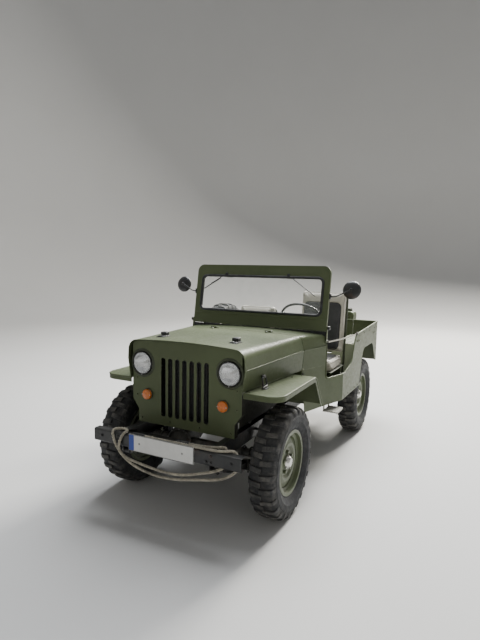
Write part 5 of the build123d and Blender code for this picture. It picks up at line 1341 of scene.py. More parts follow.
class CAR_OT_windscreen(Making, bpy.types.Operator):
    """Adds the screen's tube edge, pane seals, wipers and pivot knobs"""

    bl_idname = "car.windscreen"
    bl_label = "Windscreen"

    def execute(self, context):
        corners = [(-627, 0, -15), (-627, 0, 499), (627, 0, 499), (627, 0, -15)]
        tube = line("screen_tube", corners, 13.9, 49, 4, on_screen)
        foot = line("screen_foot", [(-627, -9, -22), (627, -9, -22)], 6, place=on_screen)
        crease = line("screen_crease", [(-612, -13, 66), (612, -13, 66)], 3.5, place=on_screen)
        fit("screen_tubes", [tube, foot, crease], "olive_paint", "windscreen")
        seals = []
        for width, height, y, thick in ((1.162, 0.314, -0.010, 0.012), (1.168, 0.318, 0.012, 0.009)):
            loop = hoop("pane_seal", width, height, 0.044, Matrix.Translation((0, y, 0.254)))
            seals.append(set_on_screen(skinned(loop, thick, 3)))
        fit("pane_seals", seals, "seal_rubber", "windscreen")
        arms, motors = [], []
        for (x, z), (tip_x, tip_z) in WIPERS:
            low, high = (x / 1000 - 0.034, 0.013, z / 1000 - 0.024), (x / 1000 + 0.034, 0.060, z / 1000 + 0.034)
            motors.append(set_on_screen(slab("wiper_motor", low, high, 0.009, 3)))
            hub = turned("wiper_hub", ((-30, 0), (-30, 7), (-27, 9), (-20, 9.5), (-19, 12.5), (-12, 12.5), (-12, 0)),
                         mm(x, 0, z), AFT, 24)
            arms.append(set_on_screen(hub))
            way = Vector((tip_x - x, 0, tip_z - z)).normalized()
            middle = Vector((tip_x, 0, tip_z)) - way * 75
            reach = way * 95
            arms.append(line("wiper_arm", [(x, -25, z), (middle.x, -21, middle.z)], 3.4, place=on_screen))
            for out, share, thick in ((-7.6, 1.0, 4.0), (-14, 0.86, 2.6)):
                ends = [middle + reach * (hand * share) + Vector((0, out, 0)) for hand in (-1, 1)]
                arms.append(line("wiper_blade", [tuple(end) for end in ends], thick, place=on_screen))
            arms.append(line("wiper_clip", [(middle.x, -24, middle.z), (middle.x, -9, middle.z)], 5, place=on_screen))
        fit("wiper_arms", arms, "seal_rubber", "windscreen", stands_for=("wipers",))
        fit("wiper_motors", motors, "olive_dark", "windscreen")
        knob = turned("screen_knob", ((649.5, 0), (649.5, 15), (652, 17.5), (656, 15), (660, 17.5), (664, 15),
                                      (667, 13), (668.5, 6), (668.5, 0)), (0, 0, 0), LEFT, 20)
        dress(both_sides(set_on_screen(knob)), "chassis_black", "windscreen")
        return {"FINISHED"}


MIRROR_PARTS = (
    # name, finish, slot, turned profile: back from the screen and out from the mirror's middle
    ("mirror_shells", "chassis_black", "black_paint",
     ((4, 0), (5, 24), (9, 46), (15, 61), (23, 71), (30, 74.6), (35, 75), (36.6, 73.4), (36, 71.4), (33, 70.8),
      (30, 69.5), (26, 69), (8, 24), (7, 0))),
    ("mirror_faces", "mirror_glass", "mirror", ((31, 0), (31, 70.4), (33.6, 70.2), (34.6, 40), (35, 0))),
    ("mirror_nuts", "chassis_black", "black_paint",
     ((-8, 0), (-8, 8), (-4, 10.5), (1, 10.5), (3, 15), (7, 17), (7, 0))),
)


class CAR_OT_mirrors(Making, bpy.types.Operator):
    """Models the domed mirrors, their cranked arms and clamps"""

    bl_idname = "car.mirrors"
    bl_label = "Mirrors"

    def execute(self, context):
        for index, (name, finish, slot, profile) in enumerate(MIRROR_PARTS):
            piece = both_sides(set_on_screen(turned(name, profile, (0.812, 0, 0.325), AFT)))
            dress(piece, finish, "windscreen", () if index else ("mirrors",))
        route = [(640.3, 0, 262), (690, 0, 262), (760, 8, 300), (808, 4, 324)]
        arm = line("mirror_arm", route, 6, 25, 4, on_screen)
        clamp = set_on_screen(slab("mirror_clamp", (0.6402, -0.017, 0.240), (0.652, 0.017, 0.284), 0.003))
        fit("mirror_arms", [arm, clamp], "chassis_black", "windscreen", both=True)
        screw = hex_bolt("clamp_screw", 0.011, 0.005)
        places = [SCREEN @ aimed(Vector((0.652, 0, z)), LEFT) for z in (0.248, 0.276)]
        dress(both_sides(copies(screw, places, "clamp_screws")), "zinc_bolt", "windscreen")
        return {"FINISHED"}


# Seats

SEATS = (
    # name, middle across, half width and top of the back, in millimetres
    ("driver", 400, 226, 1480),
    ("passenger", -290, 200, 1308),
)
# The foot of both backs along the car and up, in millimetres, and their lean in degrees
BACK_Y, BACK_Z = 1500, 785
BACK_LEAN = 7.5
# In metres: the remeshing's grain, the corner of a cushion's panel, the seam's depth and its half width
SEAT_VOXEL = 0.006
PANEL_CORNER = 0.045
SEAM_DEPTH, SEAM_WIDE = 0.007, 0.007
# How much smaller the cover starts than its cushion, its rounded edge, and the layer that lies still while it fills
COVER_SLACK, COVER_EDGE, HELD_LAYER = 0.014, 0.026, 0.004
# The welts' radii, then how far the outer one runs in from the side and the corner that it takes
PANEL_WELT, EDGE_WELT = 0.0034, 0.0036
WELT_INSET, WELT_CORNER = 0.021, 0.036
CLOTH_FRAMES = 20
CLOTH_PRESSURE = 4.0


def round_reach(u, v, half_u, half_v, corner):
    """Distance from a rounded oblong's edge, negative inside it."""
    a, b = abs(u) - half_u + corner, abs(v) - half_v + corner
    return math.hypot(max(a, 0), max(b, 0)) + min(max(a, b), 0) - corner


def round_loop(half_u, half_v, corner, steps=7, longest=0.03):
    """Points round a rounded oblong, none further apart than the longest step."""
    turns = []
    for quarter, (sign_u, sign_v) in enumerate(((1, 1), (-1, 1), (-1, -1), (1, -1))):
        for step in range(steps + 1):
            angle = math.pi / 2 * (quarter + step / steps)
            turns.append(Vector((sign_u * (half_u - corner) + corner * math.cos(angle), sign_v * (half_v - corner)
                                 + corner * math.sin(angle))))
    points = []
    for here, after in zip(turns, turns[1:] + turns[:1]):
        parts = max(1, math.ceil((after - here).length / longest))
        points += [here.lerp(after, part / parts) for part in range(parts)]
    return points


def ring(name, points):
    """A closed run of edges."""
    piece = chain(name, points)
    ends = (Vector(points[0]), Vector(points[-1]))
    pick(piece, "VERT", lambda co, normal: min((co - end).length for end in ends) < NEAR)
    bpy.ops.mesh.edge_face_add()
    leave_edit()
    return piece


class Cushion:
    """One cushion, drawn about the origin, its panel facing up or forwards, then set in its place."""

    def __init__(self, name, size, faces_up, panel, place):
        self.name = name
        self.size = Vector(size) / 1000
        self.faces_up = faces_up
        self.half_u, self.half_v, self.shift = (part / 1000 for part in panel)
        self.place = place
        self.cover = self.form()

    def flat(self, co):
        """Where a point lies on the panel, and whether it is on the panel's side."""
        if self.faces_up:
            return co.x, co.y - self.shift, co.z > self.size.z * 0.2
        return co.x, co.z - self.shift, co.y < -self.size.y * 0.2

    def form(self):
        """The cover before it is filled, a little smaller than it will be."""
        cover = cube(self.name, (0, 0, 0), self.size - Vector((COVER_SLACK, COVER_SLACK, COVER_SLACK)))
        settle(cover)
        pick(cover, "EDGE", lambda middle, way: True)
        bevel_by(COVER_EDGE, 4)
        leave_edit()
        modify(cover, "REMESH", mode="VOXEL", voxel_size=SEAT_VOXEL)
        return cover

    def fill(self):
        """Fills the cover in a short cloth run, its resting side held and each point's travel limited."""
        cover = self.cover
        before = [vert.co.copy() for vert in cover.data.vertices]
        low = min(co.z for co in before)
        back = max(co.y for co in before)
        if self.faces_up:
            rests = [vert.index for vert in cover.data.vertices if vert.co.z < low + HELD_LAYER]
        else:
            rests = [vert.index for vert in cover.data.vertices if vert.co.y > back - HELD_LAYER]
        cover.vertex_groups.new(name="held").add(rests, 1.0, "REPLACE")
        only(cover)
        cloth = cover.modifiers.new("Cloth", "CLOTH")
        cloth.settings.use_pressure = True
        cloth.settings.uniform_pressure_force = CLOTH_PRESSURE
        cloth.settings.effector_weights.gravity = 0.0
        cloth.settings.vertex_group_mass = "held"
        for number in range(1, CLOTH_FRAMES + 1):
            bpy.context.scene.frame_set(number)
        bpy.ops.object.modifier_apply(modifier=cloth.name)
        bpy.context.scene.frame_set(1)
        limit = sizes().stitch_puff
        for vert, co in zip(cover.data.vertices, before):
            moved = vert.co - co
            if moved.length > 0.00001:
                vert.co = co + moved.normalized() * limit * (1 - math.exp(-moved.length / limit))

    def sew(self):
        """Sinks the seam round the panel and marks the panel for the darker cover."""
        cover = self.cover
        marks = []
        seam = cover.vertex_groups.new(name="seam")
        for vert in cover.data.vertices:
            u, v, fronts = self.flat(vert.co)
            reach = round_reach(u, v, self.half_u, self.half_v, PANEL_CORNER) if fronts else 1.0
            marks.append(min(max(0.5 - reach / 0.002, 0.0), 1.0))
            weight = math.exp(-((reach / SEAM_WIDE) ** 2)) if abs(reach) < 0.02 else 0.0
            if weight > 0.02:
                seam.add([vert.index], weight, "REPLACE")
        cover.data.attributes.new("panel", "FLOAT", "POINT").data.foreach_set("value", marks)
        modify(cover, "DISPLACE", strength=-SEAM_DEPTH, mid_level=0.0, vertex_group="seam")

    def piping(self, name, half_u, half_v, shift, corner, radius):
        """A welt that lies on the cover along a rounded oblong."""
        bpy.context.view_layer.update()
        points = []
        for u, v in round_loop(half_u, half_v, corner):
            if self.faces_up:
                origin, way = Vector((u, v + shift, 0.4)), Vector((0, 0, -1))
            else:
                origin, way = Vector((u, -0.4, v + shift)), Vector(AFT)
            hit, point, normal, index = self.cover.ray_cast(origin, way)
            if not hit:
                raise RuntimeError(f"{self.name}: the welt {name} misses the cover")
            points.append(point + normal * radius * 0.35)
        return skinned(ring(name, points), radius, 2)

    def finish(self, stands_for=()):
        """Runs every step and sets the cushion with its two welts in place."""
        self.fill()
        modify(self.cover, "SUBSURF", levels=1, render_levels=1)
        self.sew()
        inner = self.piping(self.name + "_panel_welt", self.half_u, self.half_v, self.shift, PANEL_CORNER, PANEL_WELT)
        across, tall = self.size.x / 2, (self.size.y if self.faces_up else self.size.z) / 2
        outer = self.piping(self.name + "_edge_welt", across - WELT_INSET, tall - WELT_INSET, 0.0,
                            WELT_CORNER, EDGE_WELT)
        only(self.cover)
        bpy.ops.object.shade_smooth()
        for piece in (self.cover, inner, outer):
            piece.data.transform(self.place)
        dress(self.cover, "seat_cover", stands_for=stands_for)
        dress(inner, "black_cover")
        dress(outer, "pale_edging")


class CAR_OT_cushions(Making, bpy.types.Operator):
    """Fills and sews the seats' cushions"""

    bl_idname = "car.cushions"
    bl_label = "Cushions"

    def execute(self, context):
        for name, x, half, top in SEATS:
            seat = (2 * half - 16, 404, 104.7)
            place = set_at(x, 1284, 831.4)
            Cushion(name + "_seat_pad", seat, True, (half - 58, 140, 22), place).finish((name + "_cushions",))
            tall = top - BACK_Z - 112
            lean = set_at(x, BACK_Y, BACK_Z) @ rolled(-BACK_LEAN)
            place = lean @ Matrix.Translation((0, -0.0488, (110 + tall / 2) / 1000))
            panel = (half - 46, tall / 2 - 72, -42)
            Cushion(name + "_back_pad", (2 * half - 4, 88, tall), False, panel, place).finish()
        return {"FINISHED"}


class CAR_OT_seat_fittings(Making, bpy.types.Operator):
    """Adds feet, cross tubes and back bars to the seat frames"""

    bl_idname = "car.seat_fittings"
    bl_label = "Seat fittings"

    def execute(self, context):
        tubes, places = [], []
        for _, x, half, top in SEATS:
            for y in (1094, 1486):
                tubes.append(line("seat_cross_tube", [(x - half + 11, y, 655), (x + half - 11, y, 655)], 7))
            for side in (-1, 1):
                foot_x = x + side * (half - 11)
                tubes.append(line("seat_side_tube", [(foot_x, 1094, 700), (foot_x, 1486, 700)], 7))
                for y in (1094, 1486):
                    tubes.append(block("seat_foot", span(foot_x, 20), span(y, 20), (591.2, 596), 1.5))
                    places.append(((foot_x + 14, y + 12, 596), UP))
            reach = half - 12
            for share in (0.35, 0.6, 0.85):
                z = BACK_Z + 110 + (top - BACK_Z - 135) * share
                y = BACK_Y + (z - BACK_Z) * math.tan(math.radians(BACK_LEAN))
                tubes.append(line("seat_back_bar", [(x - reach, y, z), (x + reach, y, z)], 5))
        fit("seat_tubes", tubes, "olive_dark")
        bolted("seat_foot_bolts", 10, 5, places, "zinc_bolt")
        return {"FINISHED"}


# Driving place

GAUGES = (
    # middle across and up, radius
    (130, 1075, 55), (42, 1108, 25), (42, 1042, 25), (218, 1108, 25), (218, 1042, 25),
)
DASH_Y = 850
# The steering column's middle across, and its lean from the upright in degrees
COLUMN_X, COLUMN_LEAN = 360, 49
# Finger grips round the steering wheel
GRIPS = 40


def about(centre, degrees):
    """The matrix that turns things about a line along the car through a point in millimetres."""
    return set_at(*centre) @ rolled(degrees, "Y") @ Matrix.Translation(-at(*centre))


class CAR_OT_steering_wheel(Making, bpy.types.Operator):
    """Models the steering wheel with finger grips, sprung spokes and its button"""

    bl_idname = "car.steering_wheel"
    bl_label = "Steering wheel"

    def execute(self, context):
        section = [(11 * math.sin(a), 199 + 10.6 * math.cos(a)) for a in (math.pi * step / 7 for step in range(15))]
        rim = turned("wheel_rim", section, (0, 0, 0), UP, 120)
        pick(rim, "VERT", lambda co, normal: co.z < -0.003 and math.cos(GRIPS * math.atan2(co.y, co.x)) > 0.2)
        shift(0, 0, 0.0028)
        leave_edit()
        hub = turned("wheel_hub", ((-31, 0), (-31, 22), (-27, 27), (-12, 30), (-3, 29), (1, 25), (2, 22), (2, 0)),
                     (0, 0, 0), UP, 40)
        spokes = []
        for turn in (90, 210, 330):
            for side in (-7, 7):
                rod = line("wheel_spoke", [(20, side, -12), (110, side, -13), (192, side, -2)], 4.2, 30, place=mm)
                rod.data.transform(rolled(turn, "Z"))
                spokes.append(rod)
        button = turned("horn_button", ((2, 20), (5, 20), (8, 17), (10, 10), (10.6, 0), (2, 0)), (0, 0, 0), UP, 32)
        place = set_at(COLUMN_X, 1060, 1235) @ rolled(-COLUMN_LEAN)
        wheel = joined("steering_wheel_rim", [rim, hub])
        for piece in (wheel, joined("steering_spokes", spokes), button):
            piece.data.transform(place)
        dress(wheel, "black_gloss", "steering_hand_wheel", ("steering_wheel",))
        dress(bpy.data.objects["steering_spokes"], "greased_steel", "steering_hand_wheel")
        dress(button, "black_gloss", "steering_hand_wheel")
        return {"FINISHED"}


class CAR_OT_dash(Making, bpy.types.Operator):
    """Sets gauges, switches, the grab bar and the glove lid on the dash"""

    bl_idname = "car.dash"
    bl_label = "Dash"

    def execute(self, context):
        rims, dials, marks = [], [], []
        for x, z, r in GAUGES:
            centre = (x, DASH_Y, z)
            rim = ((0.2, r - 3), (5, r - 4.5), (8, r - 3), (8.6, r - 1), (7.5, r + 1.5), (3, r + 3), (0.2, r + 3),
                   (0.2, r - 3))
            rims.append(lathe("gauge_rim", rim, centre, AFT, 40))
            dials.append(lathe("gauge_dial", ((0.2, 0), (0.2, r - 2.8), (2.4, r - 3.2), (2.4, 0)), centre, AFT, 40))
            tick = block("gauge_tick", (x - r / 70, x + r / 70), (852.3, 853), (z + r * 0.70, z + r * 0.86), 0)
            count = 13 if r > 40 else 5
            turns = [about(centre, -120 + 240 * step / (count - 1)) for step in range(count)]
            marks.append(copies(tick, turns, "gauge_ticks"))
            needle = block("gauge_needle", span(x, 1), (853.6, 854.6), (z - r * 0.15, z + r * 0.66), 0.3, 1)
            needle.data.transform(about(centre, 118))
            marks.append(needle)
            marks.append(lathe("gauge_pin", ((2.3, 0), (2.3, r * 0.09), (5.4, r * 0.08), (5.6, 0)), centre, AFT, 16))
        fit("gauge_rims", rims, "bright_metal")
        fit("gauge_dials", dials, "black_gloss")
        fit("gauge_marks", marks, "plate_white")
        profile = ((0.2, 0), (0.2, 11), (3, 11), (3, 4.5), (16, 4.5), (18, 9), (24, 11), (30, 9.5), (32, 0))
        knob_places = ((-40, 1000), (-95, 1000), (-150, 1000), (262, 992), (90, 988))
        knobs = [lathe("dash_knob", profile, (x, DASH_Y, z), AFT, 24) for x, z in knob_places]
        fit("dash_knobs", knobs, "black_gloss")
        route = [(-520, 850.2, 1118), (-520, 886, 1118), (-230, 886, 1118), (-230, 850.2, 1118)]
        grab = line("grab_bar", route, 8, 18)
        feet = [lathe("grab_foot", ((0.2, 0), (0.2, 20), (3, 19), (5, 10), (5, 0)), (x, DASH_Y, 1118), AFT, 24)
                for x in (-520, -230)]
        fit("grab_bars", [grab, *feet], "olive_dark")
        lid = block("glove_lid", (-545, -235), (850.2, 854), (978, 1080), 1.6)
        edge = bead("glove_bead", (286, 78), 10, (-390, 854, 1029), 2.2)
        hinge = line("glove_hinge", [(-535, 854, 978), (-245, 854, 978)], 4)
        fit("glove_lids", [lid, edge, hinge], "olive_inside")
        latch = lathe("glove_latch", ((4, 0), (4, 11), (8, 10), (12, 7), (13, 0)), (-390, DASH_Y, 1064), AFT, 20)
        dress(latch, "bright_metal")
        rise = math.radians(90 - COLUMN_LEAN)
        along = Vector((0, math.cos(rise), math.sin(rise)))
        boot = turned("column_boot", ((-6, 34), (0, 35), (5, 32), (10, 27), (22, 25), (26, 22), (26, 20.4),
                                      (-6, 20.4), (-6, 34)), at(COLUMN_X, 858, 1059.4), along, 32)
        dress(boot, "seal_rubber")
        low = line("dash_low_edge", [(-616, 848.5, 963), (616, 848.5, 963)], 5)
        dress(low, "olive_paint")
        return {"FINISHED"}


class CAR_OT_controls(Making, bpy.types.Operator):
    """Stands the levers on the tunnel and hangs the pedals"""

    bl_idname = "car.controls"
    bl_label = "Controls"

    def execute(self, context):
        levers = [
            line("gear_lever", [(0, 770, 750), (0, 800, 850), (24, 905, 1000)], 6.5, 40, 4),
            line("drive_lever", [(78, 800, 750), (80, 850, 830), (80, 925, 905)], 5.5, 30),
            line("range_lever", [(112, 800, 750), (114, 845, 820), (114, 912, 885)], 5.5, 30),
            line("hand_brake", [(-110, 905, 706), (-112, 960, 760), (-114, 1030, 905)], 6.5, 30, 4),
        ]
        knobs = []
        for x, y, z, r in ((24, 905, 1000, 21), (80, 925, 905, 15), (114, 912, 885, 15)):
            ball = [(r * math.sin(a), r * math.cos(a)) for a in (math.radians(-90 + 15 * step) for step in range(13))]
            ball[0], ball[-1] = (ball[0][0], 0), (ball[-1][0], 0)
            knobs.append(lathe("lever_knob", ball, (x, y, z + r * 0.6), UP, 24))
        knobs.append(line("brake_grip", [(-113.2, 1000, 845), (-114.6, 1036, 918)], 11))
        boots = []
        for x, y, r in ((0, 772, 46), (95, 800, 40)):
            rings = [(0.2, r), (8, r - 2), (12, r * 0.72), (18, r * 0.78), (24, r * 0.55), (31, r * 0.58),
                     (38, r * 0.34), (50, r * 0.26), (50, 0), (0.2, 0), (0.2, r)]
            boots.append(lathe("lever_boot", rings, (x, y, 750), UP, 28))
        pads, arms = [], []
        for x, y, z in ((455, 705, 770), (275, 705, 770)):
            pad = slab("pedal_pad", (-0.034, -0.005, -0.030), (0.034, 0.005, 0.030), 0.003)
            ribs = [slab("pedal_rib", (-0.030, 0.004, k * 0.012 - 0.003), (0.030, 0.008, k * 0.012 + 0.003), 0.001, 1)
                    for k in (-2, -1, 0, 1, 2)]
            pad = joined("pedal_pad", [pad, *ribs])
            pad.data.transform(set_at(x, y, z) @ rolled(35))
            pads.append(pad)
            arms.append(line("pedal_arm", [(x, 618, 690), (x, 648, 742), (x, y - 5, z - 4)], 6, 16))
        pedal = slab("throttle_pad", (-0.026, -0.004, -0.075), (0.026, 0.004, 0.075), 0.003)
        pedal.data.transform(set_at(208, 668, 692) @ rolled(42))
        pads.append(pedal)
        fit("levers", levers + arms, "chassis_black")
        fit("lever_knobs", knobs, "black_gloss")
        fit("lever_boots", boots, "seal_rubber")
        fit("pedal_pads", pads, "seal_rubber")
        return {"FINISHED"}


# Body and load space


def ribbon(run, way, thickness):
    """Widens a run of edges along way, in millimetres, into a flat band."""
    only(run)
    edit_all()
    extrude(Vector(way) / 1000)
    leave_edit()
    modify(run, "SOLIDIFY", thickness=thickness / 1000, offset=0.0)
    edit_all()
    bpy.ops.mesh.normals_make_consistent(inside=False)
    return settle(run)


COWL_OUTLINE = (
    # x, z of the scuttle's rear edge from its middle to its crease
    (0, 1172), (200, 1169.5), (400, 1163), (520, 1157), (604, 1150), (626, 1138), (638, 1119),
)
# From the car's middle to the body side's outer face, in millimetres
BODY_SIDE = 724.3
DOORWAY = (
    # points of the doorway's rolled edge, from the scuttle down, back and up to the body's top
    (641, 860.5, 1088), (641, 860.5, 779), (725, 1107, 784.5), (725.3, 1140, 786), (725.3, 1382, 836),
    (725.3, 1472, 1036), (725.3, 1546, 1086),
)


class CAR_OT_body_fittings(Making, bpy.types.Operator):
    """Rolls the doorways' edges, adds the door straps, loops, screen seal and body bolts"""

    bl_idname = "car.body_fittings"
    bl_label = "Body fittings"

    def execute(self, context):
        edge = line("doorway_edge", DOORWAY, 6.2, (34, 40, 0, 46, 70))
        crease = line("scuttle_crease", [(562.6, 542, 1058), (643.4, 848, 1060)], 4.6)
        fit("doorway_edges", [edge, crease], "olive_paint", both=True)
        outline = [(-x, z) for x, z in COWL_OUTLINE[:0:-1]] + list(COWL_OUTLINE)
        seal = chain("screen_seal", [at(x, 846, z - 2) for x, z in outline])
        edit_all()
        extrude((0, 0, 0.002))
        bpy.ops.transform.resize(value=(1, 1, 0), center_override=at(0, 846, 1175))
        leave_edit()
        modify(seal, "SOLIDIFY", thickness=0.008, offset=0.0)
        pick(seal, "FACE", lambda middle, normal: True)
        bpy.ops.mesh.normals_make_consistent(inside=False)
        dress(settle(seal), "seal_rubber")
        route = [at(645 + 81 * share, 866 + 668 * share, 1083 - 4 * share - 34 * share * (1 - share))
                 for share in (step / 12 for step in range(13))]
        strap = chain("door_strap", route)
        dress(both_sides(ribbon(strap, (0, 0, 12), 2.4)), "pale_edging")
        ends = []
        for x, y, z in ((645, 866, 1089), (726.5, 1535, 1086)):
            ends.append(block("strap_end", span(x, 4), span(y, 14), span(z, 15), 2))
            ends.append(line("strap_eye", [(x + 5, y - 8, z - 12), (x + 10, y, z), (x + 5, y + 8, z + 12)], 3, 8))
        fit("strap_ends", ends, "chassis_black", both=True)
        loops = []
        for y, z in ((1620, 1010), (2350, 1010)):
            route = [(727, y - 24, z), (741, y - 20, z), (741, y + 20, z), (727, y + 24, z)]
            loops.append(line("footman_loop", route, 3.6, 7))
            loops += [block("loop_foot", (BODY_SIDE, 728), span(y + side * 30, 9), span(z, 8), 1.2)
                      for side in (-1, 1)]
        fit("footman_loops", loops, "olive_paint", both=True)
        rows = (((1165, 1290, 1410, 1530, 1650), 575), ((1640, 1880, 2120, 2360, 2480), 1058),
                (2480, (720, 820, 930)))
        places = [place for y, z in rows for place in grid(LEFT, BODY_SIDE, y, z)]
        bolted("body_bolts", 9, 4, places, "olive_paint", both=True)
        return {"FINISHED"}


# Links of a tailgate chain, less one
CHAIN_LINKS = 12


class CAR_OT_load_space(Making, bpy.types.Operator):
    """Adds ribs and mats to the floors, and the tailgate's beads, hooks and chains"""

    bl_idname = "car.load_space"
    bl_label = "Load space"

    def execute(self, context):
        ribs = [block("floor_rib", span(x, 13), (1560, 2470), (692.4, 697), 3.2, 2) for x in range(-360, 361, 90)]
        ribs += [block("foot_rib", span(x, 11), (1075, 1480), (590.4, 594.6), 3, 2)
                 for x in (-560, -400, -240, 240, 400, 560)]
        fit("floor_ribs", ribs, "olive_inside")
        tops = [block("house_rib", span(x, 11), (1712, 2358), (959.4, 964.5), 3.2, 2) for x in (530, 590, 650)]
        fit("house_ribs", tops, "olive_inside", both=True)
        mats = [block("foot_mat", span(x, 150), (760, 1010), (591.2, 597), 2.4) for x in (330, -390)]
        fit("foot_mats", mats, "seal_rubber")
        beads = [bead("gate_bead", (780, 300), 35, (0, y, 900), radius) for y, radius in ((2510.4, 4.6), (2506.8, 4))]
        fit("gate_beads", beads, "olive_paint", "tail_panel")
        hooks = []
        for side in (-1, 1):
            x = side * 428
            hooks.append(block("gate_hook_foot", span(x, 12), (2510.2, 2515), (1050, 1096), 2))
            route = [(x, 2514, 1062), (x, 2526, 1066), (x, 2526, 1090), (x + side * 10, 2518, 1097)]
            hooks.append(line("gate_hook", route, 4, 7))
        fit("gate_hooks", hooks, "chassis_black", "tail_panel")
        places = grid(AFT, (-352, -308, -22, 22, 308, 352), 2513, 742)
        bolted("gate_bolts", 10, 5, places, "olive_paint", "tail_panel")
        chains = []
        for side in (-1, 1):
            for step in range(CHAIN_LINKS + 1):
                share = step / CHAIN_LINKS
                y = 2514 + 16 * math.sin(math.pi * share)
                z = 1058 - 95 * share - 40 * share * (1 - share)
                link = start("chain_link", "torus", major_radius=0.0085, minor_radius=0.0021, major_segments=14,
                             minor_segments=6, location=at(side * (458 + 70 * share), y, z),
                             rotation=(math.radians(90 * (step % 2)), math.radians(55), 0))
                link.scale = (1.35, 0.85, 1.0)
                chains.append(settle(link))
        fit("gate_chains", chains, "zinc_bolt")
        return {"FINISHED"}


# The can's middle
CAN = (276, 2600.5, 1000.3)


class CAR_OT_fuel_can(Making, bpy.types.Operator):
    """Models the pressed fuel can with its seam, crossed ribs, handles and capped spout"""

    bl_idname = "car.fuel_can"
    bl_label = "Fuel can"

    def execute(self, context):
        can = cube("fuel_can", at(*CAN), (0.345, 0.165, 0.410))
        settle(can)
        pick(can, "EDGE", lambda middle, way: abs(way.y) > 0.9)
        bevel_by(0.045, 6)
        middle_y = at(*CAN).y
        pick(can, "EDGE", lambda middle, way: abs(middle.y - middle_y) > 0.0824)
        bevel_by(0.014, 3)
        pick(can, "FACE", lambda middle, normal: abs(normal.y) > 0.99 and abs(middle.y - middle_y) > 0.082)
        bpy.ops.mesh.inset(thickness=0.024)
        bpy.ops.mesh.inset(thickness=0.010, depth=-0.006)
        settle(can)
        seam = bead("can_seam", (347.5, 412.5), 46, CAN, 2.4)
        ribs = []
        for y in (2525.2, 2675.8):
            for lean in (-1, 1):
                ribs.append(line("can_rib", [(184, y, 1000 - 128 * lean), (368, y, 1000 + 128 * lean)], 6.6, 0, 4))
        handles = [line("can_handle", [(171, y, 1200), (171, y, 1239), (321, y, 1239), (321, y, 1200)], 8, 20, 4)
                   for y in (2553, 2600.5, 2648)]
        fit("fuel_can_body", [can, seam, *ribs, *handles], "olive_paint", "tail_panel", stands_for=("jerry_can",))
        way = Vector((0.11, 0, 1)).normalized()
        neck = turned("can_neck", ((0, 0), (0, 22), (20, 22), (22, 26), (30, 27.4), (44, 27.4), (48, 24), (50, 0)),
                      at(382, 2600.5, 1186), way, 32)
        route = [(352, 2600.5, 1226), (372, 2600.5, 1238), (408, 2600.5, 1236), (414, 2600.5, 1208)]
        lever = line("can_lever", route, 3.6, 8)
        pin = line("can_pin", [(386, 2576, 1228), (386, 2625, 1228)], 3.4)
        fit("can_cap", [neck, lever, pin], "olive_dark", "tail_panel")
        round_can = [(101.5, 2513), (101.5, 2685), (450.5, 2685), (450.5, 2513)]
        strap = ribbon(chain("can_strap", [at(x, y, 905) for x, y in round_can]), (0, 0, 24), 2.2)
        dress(strap, "pale_edging", "tail_panel")
        return {"FINISHED"}


# Running gear

# Half the distance between a leaf spring's eyes
SPRING_HALF = 455
# An axle's offset differential: its middle across, and the circle of its cover's screws
DIFFERENTIAL_X = -190
COVER_SCREWS, COVER_CIRCLE = 10, 104


class CAR_OT_axle_fittings(Making, bpy.types.Operator):
    """Clamps springs and axles together and adds eye bolts, axle covers, their screws and plugs"""

    bl_idname = "car.axle_fittings"
    bl_label = "Axle fittings"

    def execute(self, context):
        clamps, nuts, eye_bolts = [], [], []
        for y in (0, WHEELBASE):
            for x in (317, 375):
                route = [(x, y - 44, 262), (x, y - 44, 426), (x, y + 44, 426), (x, y + 44, 262)]
                clamps.append(line("spring_clamp", route, 6, 40))
                nuts += [((x, y + side * 44, 282), (0, 0, -1)) for side in (-1, 1)]
            for side in (-1, 1):
                eye_y = y + side * SPRING_HALF
                eye_bolts.append(line("spring_eye_bolt", [(316, eye_y, 425), (384, eye_y, 425)], 7))
        fit("spring_clamps", clamps, "axle_iron", both=True)
        bolted("clamp_nuts", 17, 10, nuts, "greased_steel", both=True)
        fit("spring_eye_bolts", eye_bolts, "greased_steel", both=True)
        ends = ((316, (-1, 0, 0)), (384, LEFT))
        places = [((x, y + side * SPRING_HALF, 425), way) for y in (0, WHEELBASE) for side in (-1, 1)
                  for x, way in ends]
        bolted("eye_nuts", 19, 9, places, "greased_steel", both=True)
        profile = ((52, 0), (52, 110), (64, 112), (67, 108), (67, 100), (84, 88), (101, 62), (109, 30), (110, 0))
        covers, screws, plugs = [], [], []
        for y, way in ((0, -1), (WHEELBASE, 1)):
            covers.append(lathe("cover_flange", profile, (DIFFERENTIAL_X, y, HUB_Z), (0, way, 0), 40))
            for turn in range(COVER_SCREWS):
                angle = math.radians(360 / COVER_SCREWS * turn + 18)
                x, z = DIFFERENTIAL_X + COVER_CIRCLE * math.cos(angle), HUB_Z + COVER_CIRCLE * math.sin(angle)
                screws.append(((x, y + way * 66, z), (0, way, 0)))
            plugs.append(((-160, y + way * 104, 352), (0, way, 0)))
        fit("axle_covers", covers, "axle_iron")
        bolted("cover_screws", 11, 6, screws, "greased_steel", washer=False)
        bolted("axle_plugs", 20, 8, plugs, "greased_steel")
        return {"FINISHED"}


